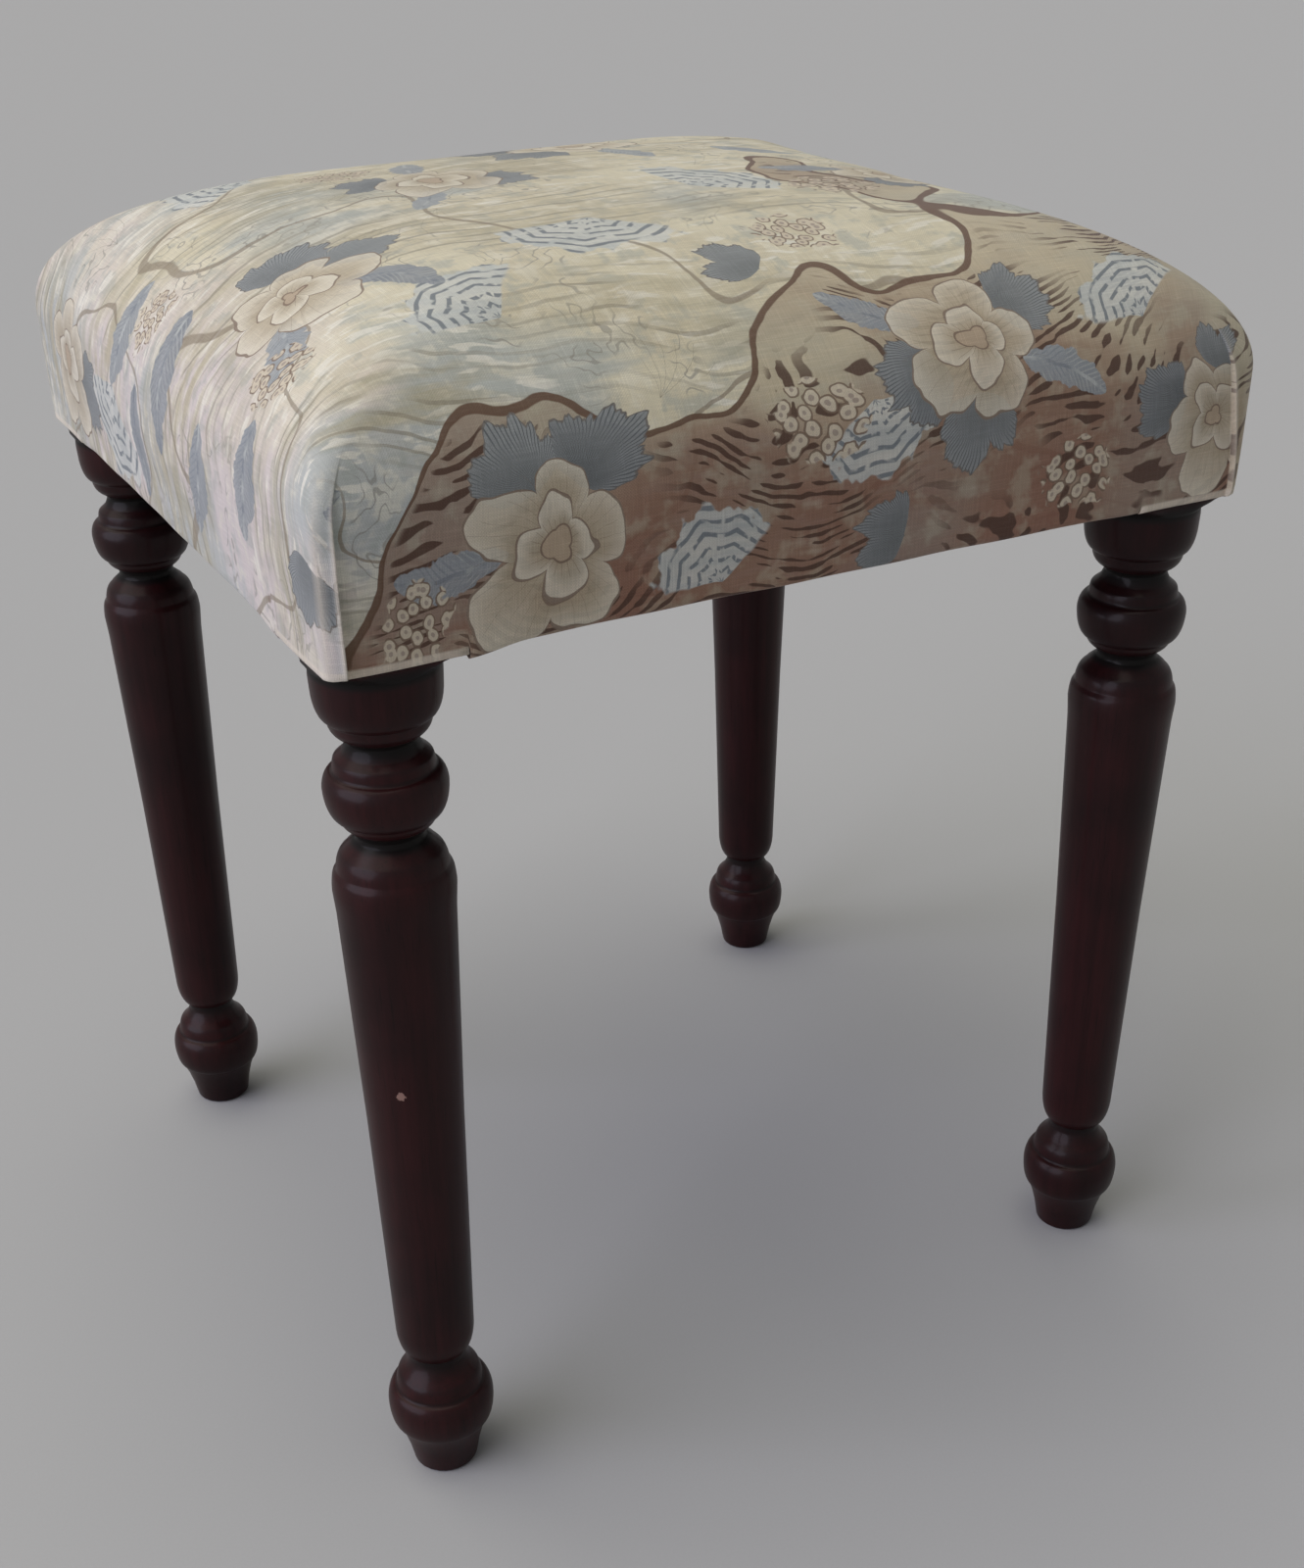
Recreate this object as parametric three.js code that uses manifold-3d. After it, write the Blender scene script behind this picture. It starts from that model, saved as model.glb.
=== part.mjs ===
// An upholstered stool. Four turned legs end in square posts, and dowelled rails join the posts
// into a frame. Webbing, hessian, foam and wadding make the seat under a boxed cloth cover.
// Millimetres, +Z up. The origin is on the floor under the middle of the seat, the front is -Y.

import * as THREE from 'three';
import { mergeVertices } from 'three/addons/utils/BufferGeometryUtils.js';
import Module from 'manifold-3d';

const wasm = await Module();
wasm.setup();

// Overall sizes
const LEG_SPACING_X = 344;
const LEG_SPACING_Y = 323;
const HEM_HEIGHT = 384;
const POST_SIDE = 50;
const POST_EDGE_RADIUS = 3;
const GAP = 0.3;
const OVERRUN = 3;

// Turned legs. The shaft takes the height that the foot, bead, cup and shoulder leave.
const FOOT_HEIGHT = 58;
const BULB_RADIUS = 22.8;
const SHAFT_RADIUS = 23.3;
const BEAD_HEIGHT = 37.5;
const BEAD_RADIUS = 23.1;
const CUP_HEIGHT = 29.3;
const CUP_RADIUS = 23.9;
const SHOULDER_DROP = 7;
const SHOULDER_HEIGHT = 7;

// Rail frame
const RAIL_THICKNESS = 20;
const RAIL_HEIGHT = 50;
const DOWEL_RADIUS = 4;
const DOWEL_LENGTH = 40;
const DOWEL_CHAMFER = 1;
const DOWEL_SPACING = 22;
const BRACE_THICKNESS = 20;
const BRACE_HEIGHT = 36;
const SCREW_LENGTH = 26;
const SCREW_RADIUS = 2;
const SCREW_TIP = 5;
const SCREW_HEAD_RADIUS = 4;
const SCREW_HEAD_HEIGHT = 2.6;
const SCREW_SEAT_DEPTH = 5;

// Seat
const WEB_WIDTH = 50;
const WEB_THICKNESS = 1.6;
const WEB_SPACING_X = 90;
const WEB_SPACING_Y = 84;
const WEB_INSET = 10;
const WEB_FLAT_MARGIN = 2;
const HESSIAN_THICKNESS = 0.8;
const FABRIC_THICKNESS = 1.5;
const WADDING_THICKNESS = 6;
const CROWN_RISE = 10;
const ROUND_RISE = 56;
const ROUND_DEPTH = 84;
const ROUND_DROP = 1.8;
const SIDE_BULGE = 1;
const SIDE_DRAW = 3;
const HEM_TURN = 18;

// Underside
const DUST_COVER_THICKNESS = 0.8;
const DUST_COVER_INSET = 8;
const DUST_COVER_CLEARANCE = 2;
const TACK_INSET = 12.5;
const TACK_LENGTH = 12;
const TACK_RADIUS = 0.8;
const TACK_HEAD_RADIUS = 3.5;
const TACK_HEAD_HEIGHT = 1.4;

// Face counts
const LEG_SIDES = 20;
const ROUND_SIDES = 8;
const CORNER_STEPS = 4;
const SIDE_STEPS = 5;
const ROUND_STEPS = 6;
const CURVE_STEPS = 3;

// Places that follow from the sizes
const POST_OUT_X = (LEG_SPACING_X + POST_SIDE) / 2;
const POST_OUT_Y = (LEG_SPACING_Y + POST_SIDE) / 2;
const HEM_OUT_X = POST_OUT_X + GAP + FABRIC_THICKNESS;
const HEM_OUT_Y = POST_OUT_Y + GAP + FABRIC_THICKNESS;
const RAIL_BOTTOM = HEM_HEIGHT + FABRIC_THICKNESS + GAP;
const RAIL_MIDDLE = RAIL_BOTTOM + RAIL_HEIGHT / 2;
const FRAME_TOP = RAIL_BOTTOM + RAIL_HEIGHT;
const RAIL_LENGTH_X = LEG_SPACING_X - POST_SIDE - 2 * GAP;
const RAIL_LENGTH_Y = LEG_SPACING_Y - POST_SIDE - 2 * GAP;
const RAIL_LINE_X = POST_OUT_X - RAIL_THICKNESS / 2;
const RAIL_LINE_Y = POST_OUT_Y - RAIL_THICKNESS / 2;
const RAIL_IN_X = POST_OUT_X - RAIL_THICKNESS;
const RAIL_IN_Y = POST_OUT_Y - RAIL_THICKNESS;
const WEB_MIDDLE = FRAME_TOP + GAP + WEB_THICKNESS / 2;
const HESSIAN_BOTTOM = WEB_MIDDLE + WEB_THICKNESS + GAP + GAP / 2;
const FOAM_BOTTOM = HESSIAN_BOTTOM + HESSIAN_THICKNESS + GAP;
const ROUND_START = FRAME_TOP - ROUND_DROP;
const SEAT_HEIGHT = ROUND_START + ROUND_RISE + CROWN_RISE;
const DUST_COVER_TOP = HEM_HEIGHT - GAP;
const TACK_HEAD_TOP = DUST_COVER_TOP - DUST_COVER_THICKNESS - GAP;

const UP = new THREE.Vector3(0, 0, 1);
const SIDES_X = [[-1, 'left'], [1, 'right']];
const SIDES_Y = [[-1, 'front'], [1, 'back']];

const materials = {
  darkWood: new THREE.MeshStandardMaterial({ color: 0x1d1211, roughness: 0.38, metalness: 0 }),
  railWood: new THREE.MeshStandardMaterial({ color: 0xb08a5e, roughness: 0.7, metalness: 0 }),
  dowelWood: new THREE.MeshStandardMaterial({ color: 0xcdaa7a, roughness: 0.65, metalness: 0 }),
  steel: new THREE.MeshStandardMaterial({ color: 0x8f9092, roughness: 0.35, metalness: 1 }),
  bluedSteel: new THREE.MeshStandardMaterial({ color: 0x2b2d33, roughness: 0.45, metalness: 1 }),
  webbing: new THREE.MeshStandardMaterial({ color: 0xb79a6b, roughness: 0.95, metalness: 0 }),
  hessian: new THREE.MeshStandardMaterial({ color: 0xa98c5c, roughness: 0.95, metalness: 0 }),
  foam: new THREE.MeshStandardMaterial({ color: 0xe3d9a8, roughness: 0.95, metalness: 0 }),
  wadding: new THREE.MeshStandardMaterial({ color: 0xf0eee8, roughness: 1, metalness: 0 }),
  printedCloth: new THREE.MeshStandardMaterial({ color: 0xc9c0a8, roughness: 0.85, metalness: 0 }),
  blackCloth: new THREE.MeshStandardMaterial({ color: 0x17171a, roughness: 0.9, metalness: 0 }),
};

// A solid for joining and cutting, from a closed geometry
function solidOf(geometry) {
  const bare = geometry.clone();
  bare.deleteAttribute('normal');
  bare.deleteAttribute('uv');
  const merged = mergeVertices(bare);
  const corners = Array.from(merged.index.array);
  const kept = [];
  for (let i = 0; i < corners.length; i += 3) {
    const [a, b, c] = corners.slice(i, i + 3);
    if (a !== b && b !== c && c !== a) {
      kept.push(a, b, c);
    }
  }
  const vertProperties = new Float32Array(merged.attributes.position.array);
  const triVerts = new Uint32Array(kept);
  return new wasm.Manifold(new wasm.Mesh({ numProp: 3, vertProperties, triVerts }));
}

// The geometry of a solid
function geometryOf(solid) {
  const mesh = solid.getMesh();
  const geometry = new THREE.BufferGeometry();
  geometry.setAttribute('position', new THREE.BufferAttribute(mesh.vertProperties, 3));
  geometry.setIndex(new THREE.BufferAttribute(mesh.triVerts, 1));
  geometry.computeVertexNormals();
  return geometry;
}

function joined(solids) {
  return solids.reduce((whole, solid) => whole.add(solid));
}

function piece(name, geometry, material) {
  const mesh = new THREE.Mesh(geometry, material);
  mesh.name = name;
  return mesh;
}

function group(...members) {
  const made = new THREE.Group();
  members.forEach((member) => made.add(member));
  return made;
}

// Turns an outline of [height, radius] points about Z
function turned(outline, sides) {
  const points = outline.map(([height, radius]) => new THREE.Vector2(radius, height));
  return new THREE.LatheGeometry(points, sides).rotateX(Math.PI / 2);
}

// A flat outline raised from one height to another
function raised(outline, bottom, top) {
  const shape = new THREE.Shape(outline.map(([x, y]) => new THREE.Vector2(x, y)));
  const geometry = new THREE.ExtrudeGeometry(shape, { depth: top - bottom, bevelEnabled: false });
  return geometry.translate(0, 0, bottom);
}

function block(sizeX, sizeY, bottom, top) {
  const box = new THREE.BoxGeometry(sizeX, sizeY, top - bottom);
  return box.translate(0, 0, (bottom + top) / 2);
}

// Where a turned piece goes: its foot at a point, its axis along a direction
function pose(point, direction) {
  const turn = new THREE.Quaternion().setFromUnitVectors(UP, direction);
  return new THREE.Matrix4().compose(point, turn, new THREE.Vector3(1, 1, 1));
}

function posed(mesh, matrix) {
  mesh.applyMatrix4(matrix);
  return mesh;
}

// Points of a curve from one outline point to the next. A bend of 1 is a quarter of an ellipse
// that swells outwards, -1 one that hollows inwards, and 0 a straight line.
function curve([height, radius], [nextHeight, nextRadius, bend]) {
  const steps = Math.max(1, Math.round(Math.abs(bend) * CURVE_STEPS));
  const swells = (bend > 0) === (nextRadius > radius);
  const points = [];
  for (let step = 1; step <= steps; step += 1) {
    const share = step / steps;
    const angle = share * Math.PI / 2;
    const roundUp = swells ? 1 - Math.cos(angle) : Math.sin(angle);
    const roundOut = swells ? Math.sin(angle) : 1 - Math.cos(angle);
    const up = THREE.MathUtils.lerp(share, roundUp, Math.abs(bend));
    const out = THREE.MathUtils.lerp(share, roundOut, Math.abs(bend));
    points.push([
      THREE.MathUtils.lerp(height, nextHeight, up),
      THREE.MathUtils.lerp(radius, nextRadius, out),
    ]);
  }
  return points;
}

// Turned sections, each as shares of its height and of its largest radius, with the bend of the
// curve that leads to the point. A section starts where the one below it ends.
const footShares = [
  [0.022, 0.61, 0], [0.41, 0.885, -0.34], [0.6, 1, 1], [0.745, 0.85, 0.9], [0.757, 0.82, 0],
  [0.87, 0.745, 0.6], [0.9, 0.66, 0], [1, 0.51, -0.3],
];
const footStartShare = 0.56;
const shaftShares = [
  [0.015, 0.5, 0], [0.072, 0.717, 1], [0.5, 0.833, 0], [0.875, 0.97, 0], [0.912, 1, 0],
  [0.94, 0.955, 0.7],
  [0.946, 0.91, 0], [0.974, 0.79, 0.7], [0.98, 0.735, 0], [0.993, 0.567, 0], [1, 0.55, 0],
];
const beadShares = [
  [0.067, 0.6, 0], [0.18, 0.785, 0.6], [0.2, 0.8, 0], [0.52, 1, 0.95], [0.69, 0.85, 0.9],
  [0.71, 0.82, 0], [0.82, 0.785, 0.4], [0.89, 0.65, 0], [1, 0.57, -0.3],
];
const cupShares = [
  [0.067, 0.6, 0], [0.222, 0.785, 0.6], [0.3, 0.806, 0], [0.323, 0.825, 0], [0.7, 0.99, 0.9],
  [0.89, 1, 0], [1, 0.99, 0],
];
const shoulderBend = -0.4;

function addSection(outline, shares, height, radius) {
  const bottom = outline.at(-1)[0];
  for (const [heightShare, radiusShare, bend] of shares) {
    const next = [bottom + heightShare * height, radiusShare * radius, bend];
    outline.push(...curve(outline.at(-1), next));
  }
}

function legOutline() {
  const shoulder = HEM_HEIGHT - SHOULDER_DROP;
  const shaftHeight = shoulder - FOOT_HEIGHT - BEAD_HEIGHT - CUP_HEIGHT;
  const cornerRadius = POST_SIDE * Math.SQRT1_2;
  const outline = [[0, 0], [0, footStartShare * BULB_RADIUS]];
  addSection(outline, footShares, FOOT_HEIGHT, BULB_RADIUS);
  addSection(outline, shaftShares, shaftHeight, SHAFT_RADIUS);
  addSection(outline, beadShares, BEAD_HEIGHT, BEAD_RADIUS);
  addSection(outline, cupShares, CUP_HEIGHT, CUP_RADIUS);
  outline.push(...curve(outline.at(-1), [shoulder + SHOULDER_HEIGHT, cornerRadius, shoulderBend]));
  outline.push([FRAME_TOP + OVERRUN, cornerRadius], [FRAME_TOP + OVERRUN, 0]);
  return outline;
}

// A ring of points round a rounded rectangle. draw pulls the middles of its sides inwards.
function ringOutline(halfX, halfY, radius, draw) {
  const points = [];
  const corners = [[1, 1], [-1, 1], [-1, -1], [1, -1]];
  corners.forEach(([signX, signY], corner) => {
    const centre = [signX * (halfX - radius), signY * (halfY - radius)];
    for (let step = 0; step <= CORNER_STEPS; step += 1) {
      const angle = (corner + step / CORNER_STEPS) * Math.PI / 2;
      points.push([centre[0] + radius * Math.cos(angle), centre[1] + radius * Math.sin(angle)]);
    }
    const [nextX, nextY] = corners[(corner + 1) % corners.length];
    const [startX, startY] = points.at(-1);
    const angle = (corner + 1) * Math.PI / 2;
    const endX = nextX * (halfX - radius) + radius * Math.cos(angle);
    const endY = nextY * (halfY - radius) + radius * Math.sin(angle);
    for (let step = 1; step < SIDE_STEPS; step += 1) {
      const share = step / SIDE_STEPS;
      const inwards = draw * 4 * share * (1 - share);
      points.push([
        THREE.MathUtils.lerp(startX, endX, share) - inwards * Math.cos(angle),
        THREE.MathUtils.lerp(startY, endY, share) - inwards * Math.sin(angle),
      ]);
    }
  });
  return points;
}

// One ring of the pad's form, as points with a height
function padRing(halfX, halfY, radius, draw, height) {
  return ringOutline(halfX, halfY, radius, draw).map(([x, y]) => new THREE.Vector3(x, y, height));
}

// The form that the cover, wadding and foam share, as rings from the hem to the crown. A layer
// that lies further in is smaller by its offset all round.
const sideShares = [0, 0.5, 1];
const crownShares = [0.3, 0.6, 0.85];
const CORNER_SPREAD_SHARE = 0.55;

function padRings(offset) {
  const rings = [];
  const sharpest = Math.max(POST_EDGE_RADIUS + GAP + FABRIC_THICKNESS - offset, GAP);
  const outX = HEM_OUT_X - offset;
  const outY = HEM_OUT_Y - offset;
  for (const share of sideShares) {
    const bulge = SIDE_BULGE * Math.sin(share * Math.PI / 2);
    const height = THREE.MathUtils.lerp(HEM_HEIGHT, ROUND_START, share);
    rings.push(padRing(outX + bulge, outY + bulge, sharpest, 0, height));
  }
  const depth = ROUND_DEPTH - offset;
  for (let step = 1; step <= ROUND_STEPS; step += 1) {
    const angle = step / ROUND_STEPS * Math.PI / 2;
    const inset = depth * (1 - Math.cos(angle)) - SIDE_BULGE;
    const radius = sharpest + CORNER_SPREAD_SHARE * (inset + SIDE_BULGE);
    const height = ROUND_START + (ROUND_RISE - offset) * Math.sin(angle);
    const draw = SIDE_DRAW * Math.sin(2 * angle);
    rings.push(padRing(outX - inset, outY - inset, radius, draw, height + crownAt(angle)));
  }
  const rim = rings.at(-1);
  const top = new THREE.Vector3(0, 0, SEAT_HEIGHT - offset);
  for (const share of crownShares) {
    const rise = 1 - (1 - share) ** 2;
    rings.push(rim.map((point) => new THREE.Vector3(
      point.x * (1 - share),
      point.y * (1 - share),
      THREE.MathUtils.lerp(point.z, top.z, rise),
    )));
  }
  return { rings, top };
}

// The crown starts to lift the pad part of the way over its rounded edge
const crownStartShare = 0.25;

function crownAt(angle) {
  return CROWN_RISE * crownStartShare * (1 - Math.cos(angle)) ** 2;
}

// Cuts the rings off at a height, between the two rings on either side of it
function ringsAbove({ rings, top }, height) {
  const first = rings.findIndex((ring) => ring[0].z > height);
  if (first <= 0) {
    return { rings, top };
  }
  const below = rings[first - 1];
  const above = rings[first];
  const share = (height - below[0].z) / (above[0].z - below[0].z);
  const cut = below.map((point, i) => point.clone().lerp(above[i], share));
  return { rings: [cut, ...rings.slice(first)], top };
}

// Joins rings into faces, and the last ring to the top point
class RingSurface {
  constructor() {
    this.points = [];
    this.faces = [];
  }

  addRing(ring) {
    const start = this.points.length;
    this.points.push(...ring);
    return start;
  }

  band(lower, upper, count) {
    for (let i = 0; i < count; i += 1) {
      const next = (i + 1) % count;
      this.faces.push(lower + i, lower + next, upper + next);
      this.faces.push(lower + i, upper + next, upper + i);
    }
  }

  fan(ring, centre, count) {
    for (let i = 0; i < count; i += 1) {
      this.faces.push(ring + i, ring + (i + 1) % count, centre);
    }
  }

  // One skin from its lowest ring to its top point. Returns where its lowest ring starts.
  skin({ rings, top }, outwards) {
    const firstFace = this.faces.length;
    const count = rings[0].length;
    const starts = rings.map((ring) => this.addRing(ring));
    for (let i = 1; i < starts.length; i += 1) {
      this.band(starts[i - 1], starts[i], count);
    }
    this.fan(starts.at(-1), this.addRing([top]), count);
    if (!outwards) {
      this.faces.push(...this.faces.splice(firstFace).reverse());
    }
    return starts[0];
  }

  geometry() {
    const geometry = new THREE.BufferGeometry();
    geometry.setFromPoints(this.points);
    geometry.setIndex(this.faces);
    geometry.computeVertexNormals();
    return geometry;
  }
}

// An open-bottomed layer between two offsets, from a height upwards
function padShell(outerOffset, thickness, bottom) {
  const surface = new RingSurface();
  const outer = ringsAbove(padRings(outerOffset), bottom);
  const inner = ringsAbove(padRings(outerOffset + thickness), bottom);
  const outerStart = surface.skin(outer, true);
  const innerStart = surface.skin(inner, false);
  surface.band(innerStart, outerStart, outer.rings[0].length);
  return surface.geometry();
}

// A filled layer under one offset, from a height upwards
function padBlock(offset, bottom) {
  const surface = new RingSurface();
  const outer = ringsAbove(padRings(offset), bottom);
  const count = outer.rings[0].length;
  const start = surface.skin(outer, true);
  const centre = surface.addRing([new THREE.Vector3(0, 0, bottom)]);
  for (let i = 0; i < count; i += 1) {
    surface.faces.push(start + (i + 1) % count, start + i, centre);
  }
  return surface.geometry();
}

// Places of the fasteners, each with the point where it starts and the way it points
function dowelPlaces() {
  const places = [];
  const middleX = LEG_SPACING_X / 2 - POST_SIDE / 2 - GAP / 2;
  const middleY = LEG_SPACING_Y / 2 - POST_SIDE / 2 - GAP / 2;
  for (const [signX, nameX] of SIDES_X) {
    for (const [signY, nameY] of SIDES_Y) {
      for (const [signZ, nameZ] of [[-1, 'low'], [1, 'high']]) {
        const height = RAIL_MIDDLE + signZ * DOWEL_SPACING / 2;
        const alongX = new THREE.Vector3(signX, 0, 0);
        const alongY = new THREE.Vector3(0, signY, 0);
        places.push({
          name: `dowel_${nameY}_rail_${nameX}_${nameZ}`,
          start: new THREE.Vector3(signX * (middleX - DOWEL_LENGTH / 2), signY * RAIL_LINE_Y, height),
          direction: alongX,
        });
        places.push({
          name: `dowel_${nameX}_rail_${nameY}_${nameZ}`,
          start: new THREE.Vector3(signX * RAIL_LINE_X, signY * (middleY - DOWEL_LENGTH / 2), height),
          direction: alongY,
        });
      }
    }
  }
  return places;
}

// A brace lies across a corner. Its long edges are this far from the corner of the rails.
const BRACE_NEAR = 2 * (POST_SIDE - RAIL_THICKNESS) - POST_EDGE_RADIUS * (2 - Math.SQRT2)
  + GAP * Math.SQRT2;
const BRACE_FAR = BRACE_NEAR + BRACE_THICKNESS * Math.SQRT2;
const BRACE_MIDDLE = (BRACE_NEAR + BRACE_FAR) / 2;

function bracePlaces() {
  const places = [];
  const headIn = BRACE_FAR - BRACE_MIDDLE - SCREW_SEAT_DEPTH;
  for (const [signX, nameX] of SIDES_X) {
    for (const [signY, nameY] of SIDES_Y) {
      const across = signX * (RAIL_IN_X - BRACE_MIDDLE);
      const along = signY * (RAIL_IN_Y - BRACE_MIDDLE);
      places.push({
        name: `brace_screw_${nameY}_${nameX}_to_${nameY}`,
        start: new THREE.Vector3(across, signY * (RAIL_IN_Y - headIn), RAIL_MIDDLE),
        direction: new THREE.Vector3(0, signY, 0),
      });
      places.push({
        name: `brace_screw_${nameY}_${nameX}_to_${nameX}`,
        start: new THREE.Vector3(signX * (RAIL_IN_X - headIn), along, RAIL_MIDDLE),
        direction: new THREE.Vector3(signX, 0, 0),
      });
    }
  }
  return places;
}

const tackShares = [[-0.36, 'a'], [0, 'b'], [0.36, 'c']];

function tackPlaces() {
  const places = [];
  for (const [share, letter] of tackShares) {
    for (const [signY, nameY] of SIDES_Y) {
      const line = signY * (HEM_OUT_Y - TACK_INSET);
      places.push({
        name: `tack_${nameY}_${letter}`,
        start: new THREE.Vector3(share * RAIL_LENGTH_X, line, TACK_HEAD_TOP),
        direction: UP,
      });
    }
    for (const [signX, nameX] of SIDES_X) {
      const line = signX * (HEM_OUT_X - TACK_INSET);
      places.push({
        name: `tack_${nameX}_${letter}`,
        start: new THREE.Vector3(line, share * RAIL_LENGTH_Y, TACK_HEAD_TOP),
        direction: UP,
      });
    }
  }
  return places;
}

// Fasteners stand on their start point. A head lies below it.
function dowelOutline(clearance) {
  const radius = DOWEL_RADIUS + clearance;
  const low = -clearance;
  const high = DOWEL_LENGTH + clearance;
  return [
    [low, 0], [low, radius - DOWEL_CHAMFER], [low + DOWEL_CHAMFER, radius],
    [high - DOWEL_CHAMFER, radius], [high, radius - DOWEL_CHAMFER], [high, 0],
  ];
}

function screwOutline() {
  const neck = SCREW_LENGTH - SCREW_TIP;
  return [
    [-SCREW_HEAD_HEIGHT, 0], [-SCREW_HEAD_HEIGHT, SCREW_HEAD_RADIUS - SCREW_HEAD_HEIGHT / 2],
    [-SCREW_HEAD_HEIGHT / 2, SCREW_HEAD_RADIUS], [0, SCREW_HEAD_RADIUS], [0, SCREW_RADIUS],
    [neck, SCREW_RADIUS], [SCREW_LENGTH, 0],
  ];
}

// The screw's hole, with the seat of its head open towards the middle of the stool
function screwHoleOutline() {
  const radius = SCREW_RADIUS + GAP;
  const headRadius = SCREW_HEAD_RADIUS + GAP;
  const open = -SCREW_SEAT_DEPTH - SCREW_HEAD_RADIUS - OVERRUN;
  return [
    [open, 0], [open, headRadius], [GAP, headRadius], [GAP, radius],
    [SCREW_LENGTH + GAP, radius], [SCREW_LENGTH + GAP, 0],
  ];
}

// A tack's domed head, as shares of its height and radius
const tackHeadShares = [[1, 0], [0.8, 0.6], [0.3, 1], [0, 1]];

function tackOutline() {
  const head = tackHeadShares.map(([heightShare, radiusShare]) => (
    [-TACK_HEAD_HEIGHT * heightShare, TACK_HEAD_RADIUS * radiusShare]
  ));
  return [...head, [0, TACK_RADIUS], [TACK_LENGTH / 2, TACK_RADIUS], [TACK_LENGTH, 0]];
}

function holes(places, geometry) {
  return joined(places.map(({ start, direction }) => (
    solidOf(geometry.clone().applyMatrix4(pose(start, direction)))
  )));
}

const dowels = dowelPlaces();
const screws = bracePlaces();
const tacks = tackPlaces();
const tackHoleSide = 2 * (TACK_RADIUS + GAP);
const dowelHoles = holes(dowels, turned(dowelOutline(GAP), ROUND_SIDES));
const screwHoles = holes(screws, turned(screwHoleOutline(), ROUND_SIDES));
const tackHoles = holes(tacks, block(tackHoleSide, tackHoleSide, -OVERRUN, TACK_LENGTH + GAP));

function fasteners(places, geometry, material) {
  return places.map(({ name, start, direction }) => (
    posed(piece(name, geometry, material), pose(start, direction))
  ));
}

// Legs: the turned outline, cut square above the shoulder
function legs() {
  const side = POST_SIDE / 2;
  const square = raised(ringOutline(side, side, POST_EDGE_RADIUS, 0), -OVERRUN, FRAME_TOP);
  const leg = solidOf(turned(legOutline(), LEG_SIDES)).intersect(solidOf(square));
  const made = group();
  for (const [signX, nameX] of SIDES_X) {
    for (const [signY, nameY] of SIDES_Y) {
      const place = [signX * LEG_SPACING_X / 2, signY * LEG_SPACING_Y / 2, 0];
      const bores = dowelHoles.translate(place.map((value) => -value));
      const mesh = piece(`leg_${nameY}_${nameX}`, geometryOf(leg.subtract(bores)), materials.darkWood);
      mesh.position.set(...place);
      made.add(mesh);
    }
  }
  return made;
}

function rails() {
  const cuts = joined([dowelHoles, screwHoles, tackHoles]);
  const made = group();
  const addRail = (name, geometry) => {
    made.add(piece(name, geometryOf(solidOf(geometry).subtract(cuts)), materials.railWood));
  };
  for (const [sign, name] of SIDES_Y) {
    const bar = block(RAIL_LENGTH_X, RAIL_THICKNESS, RAIL_BOTTOM, FRAME_TOP);
    addRail(`rail_${name}`, bar.translate(0, sign * RAIL_LINE_Y, 0));
  }
  for (const [sign, name] of SIDES_X) {
    const bar = block(RAIL_THICKNESS, RAIL_LENGTH_Y, RAIL_BOTTOM, FRAME_TOP);
    addRail(`rail_${name}`, bar.translate(sign * RAIL_LINE_X, 0, 0));
  }
  return made;
}

function braces() {
  const outline = [[BRACE_NEAR, GAP], [BRACE_FAR, GAP], [GAP, BRACE_FAR], [GAP, BRACE_NEAR]];
  const bottom = RAIL_MIDDLE - BRACE_HEIGHT / 2;
  const top = RAIL_MIDDLE + BRACE_HEIGHT / 2;
  const made = group();
  for (const [signX, nameX] of SIDES_X) {
    for (const [signY, nameY] of SIDES_Y) {
      const corners = outline.map(([x, y]) => [signX * (RAIL_IN_X - x), signY * (RAIL_IN_Y - y)]);
      const brace = solidOf(raised(corners, bottom, top)).subtract(screwHoles);
      made.add(piece(`brace_${nameY}_${nameX}`, geometryOf(brace), materials.railWood));
    }
  }
  return made;
}

// A webbing strip seen from its side. It lies on the rails at its ends, and passes over or under
// each strip that crosses it.
function webOutline(half, railIn, crossings) {
  const step = (WEB_THICKNESS + GAP) / 2;
  const flat = WEB_WIDTH / 2 + WEB_FLAT_MARGIN;
  const line = [[-half, 0], [-railIn, 0]];
  for (const [middle, over] of crossings) {
    line.push([middle - flat, over * step], [middle + flat, over * step]);
  }
  line.push([railIn, 0], [half, 0]);
  const top = line.map(([x, z]) => [x, z + WEB_THICKNESS / 2]);
  const bottom = line.map(([x, z]) => [x, z - WEB_THICKNESS / 2]);
  return [...bottom, ...top.reverse()];
}

const webShares = [-1, 0, 1];

function webbing() {
  const made = group();
  const strip = (half, railIn, spacing, start) => {
    const crossings = webShares.map((share, i) => [share * spacing, (i + start) % 2 ? -1 : 1]);
    const outline = webOutline(half, railIn, crossings);
    return raised(outline, -WEB_WIDTH / 2, WEB_WIDTH / 2).rotateX(Math.PI / 2);
  };
  webShares.forEach((share, i) => {
    const alongX = strip(POST_OUT_X - WEB_INSET, RAIL_IN_X, WEB_SPACING_X, i);
    const front = piece(`webbing_across_${i + 1}`, alongX, materials.webbing);
    front.position.set(0, share * WEB_SPACING_Y, WEB_MIDDLE);
    const alongY = strip(POST_OUT_Y - WEB_INSET, RAIL_IN_Y, WEB_SPACING_Y, i + 1);
    const side = piece(`webbing_back_${i + 1}`, alongY, materials.webbing);
    side.position.set(share * WEB_SPACING_X, 0, WEB_MIDDLE);
    side.rotation.z = Math.PI / 2;
    made.add(front, side);
  });
  return made;
}

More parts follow.
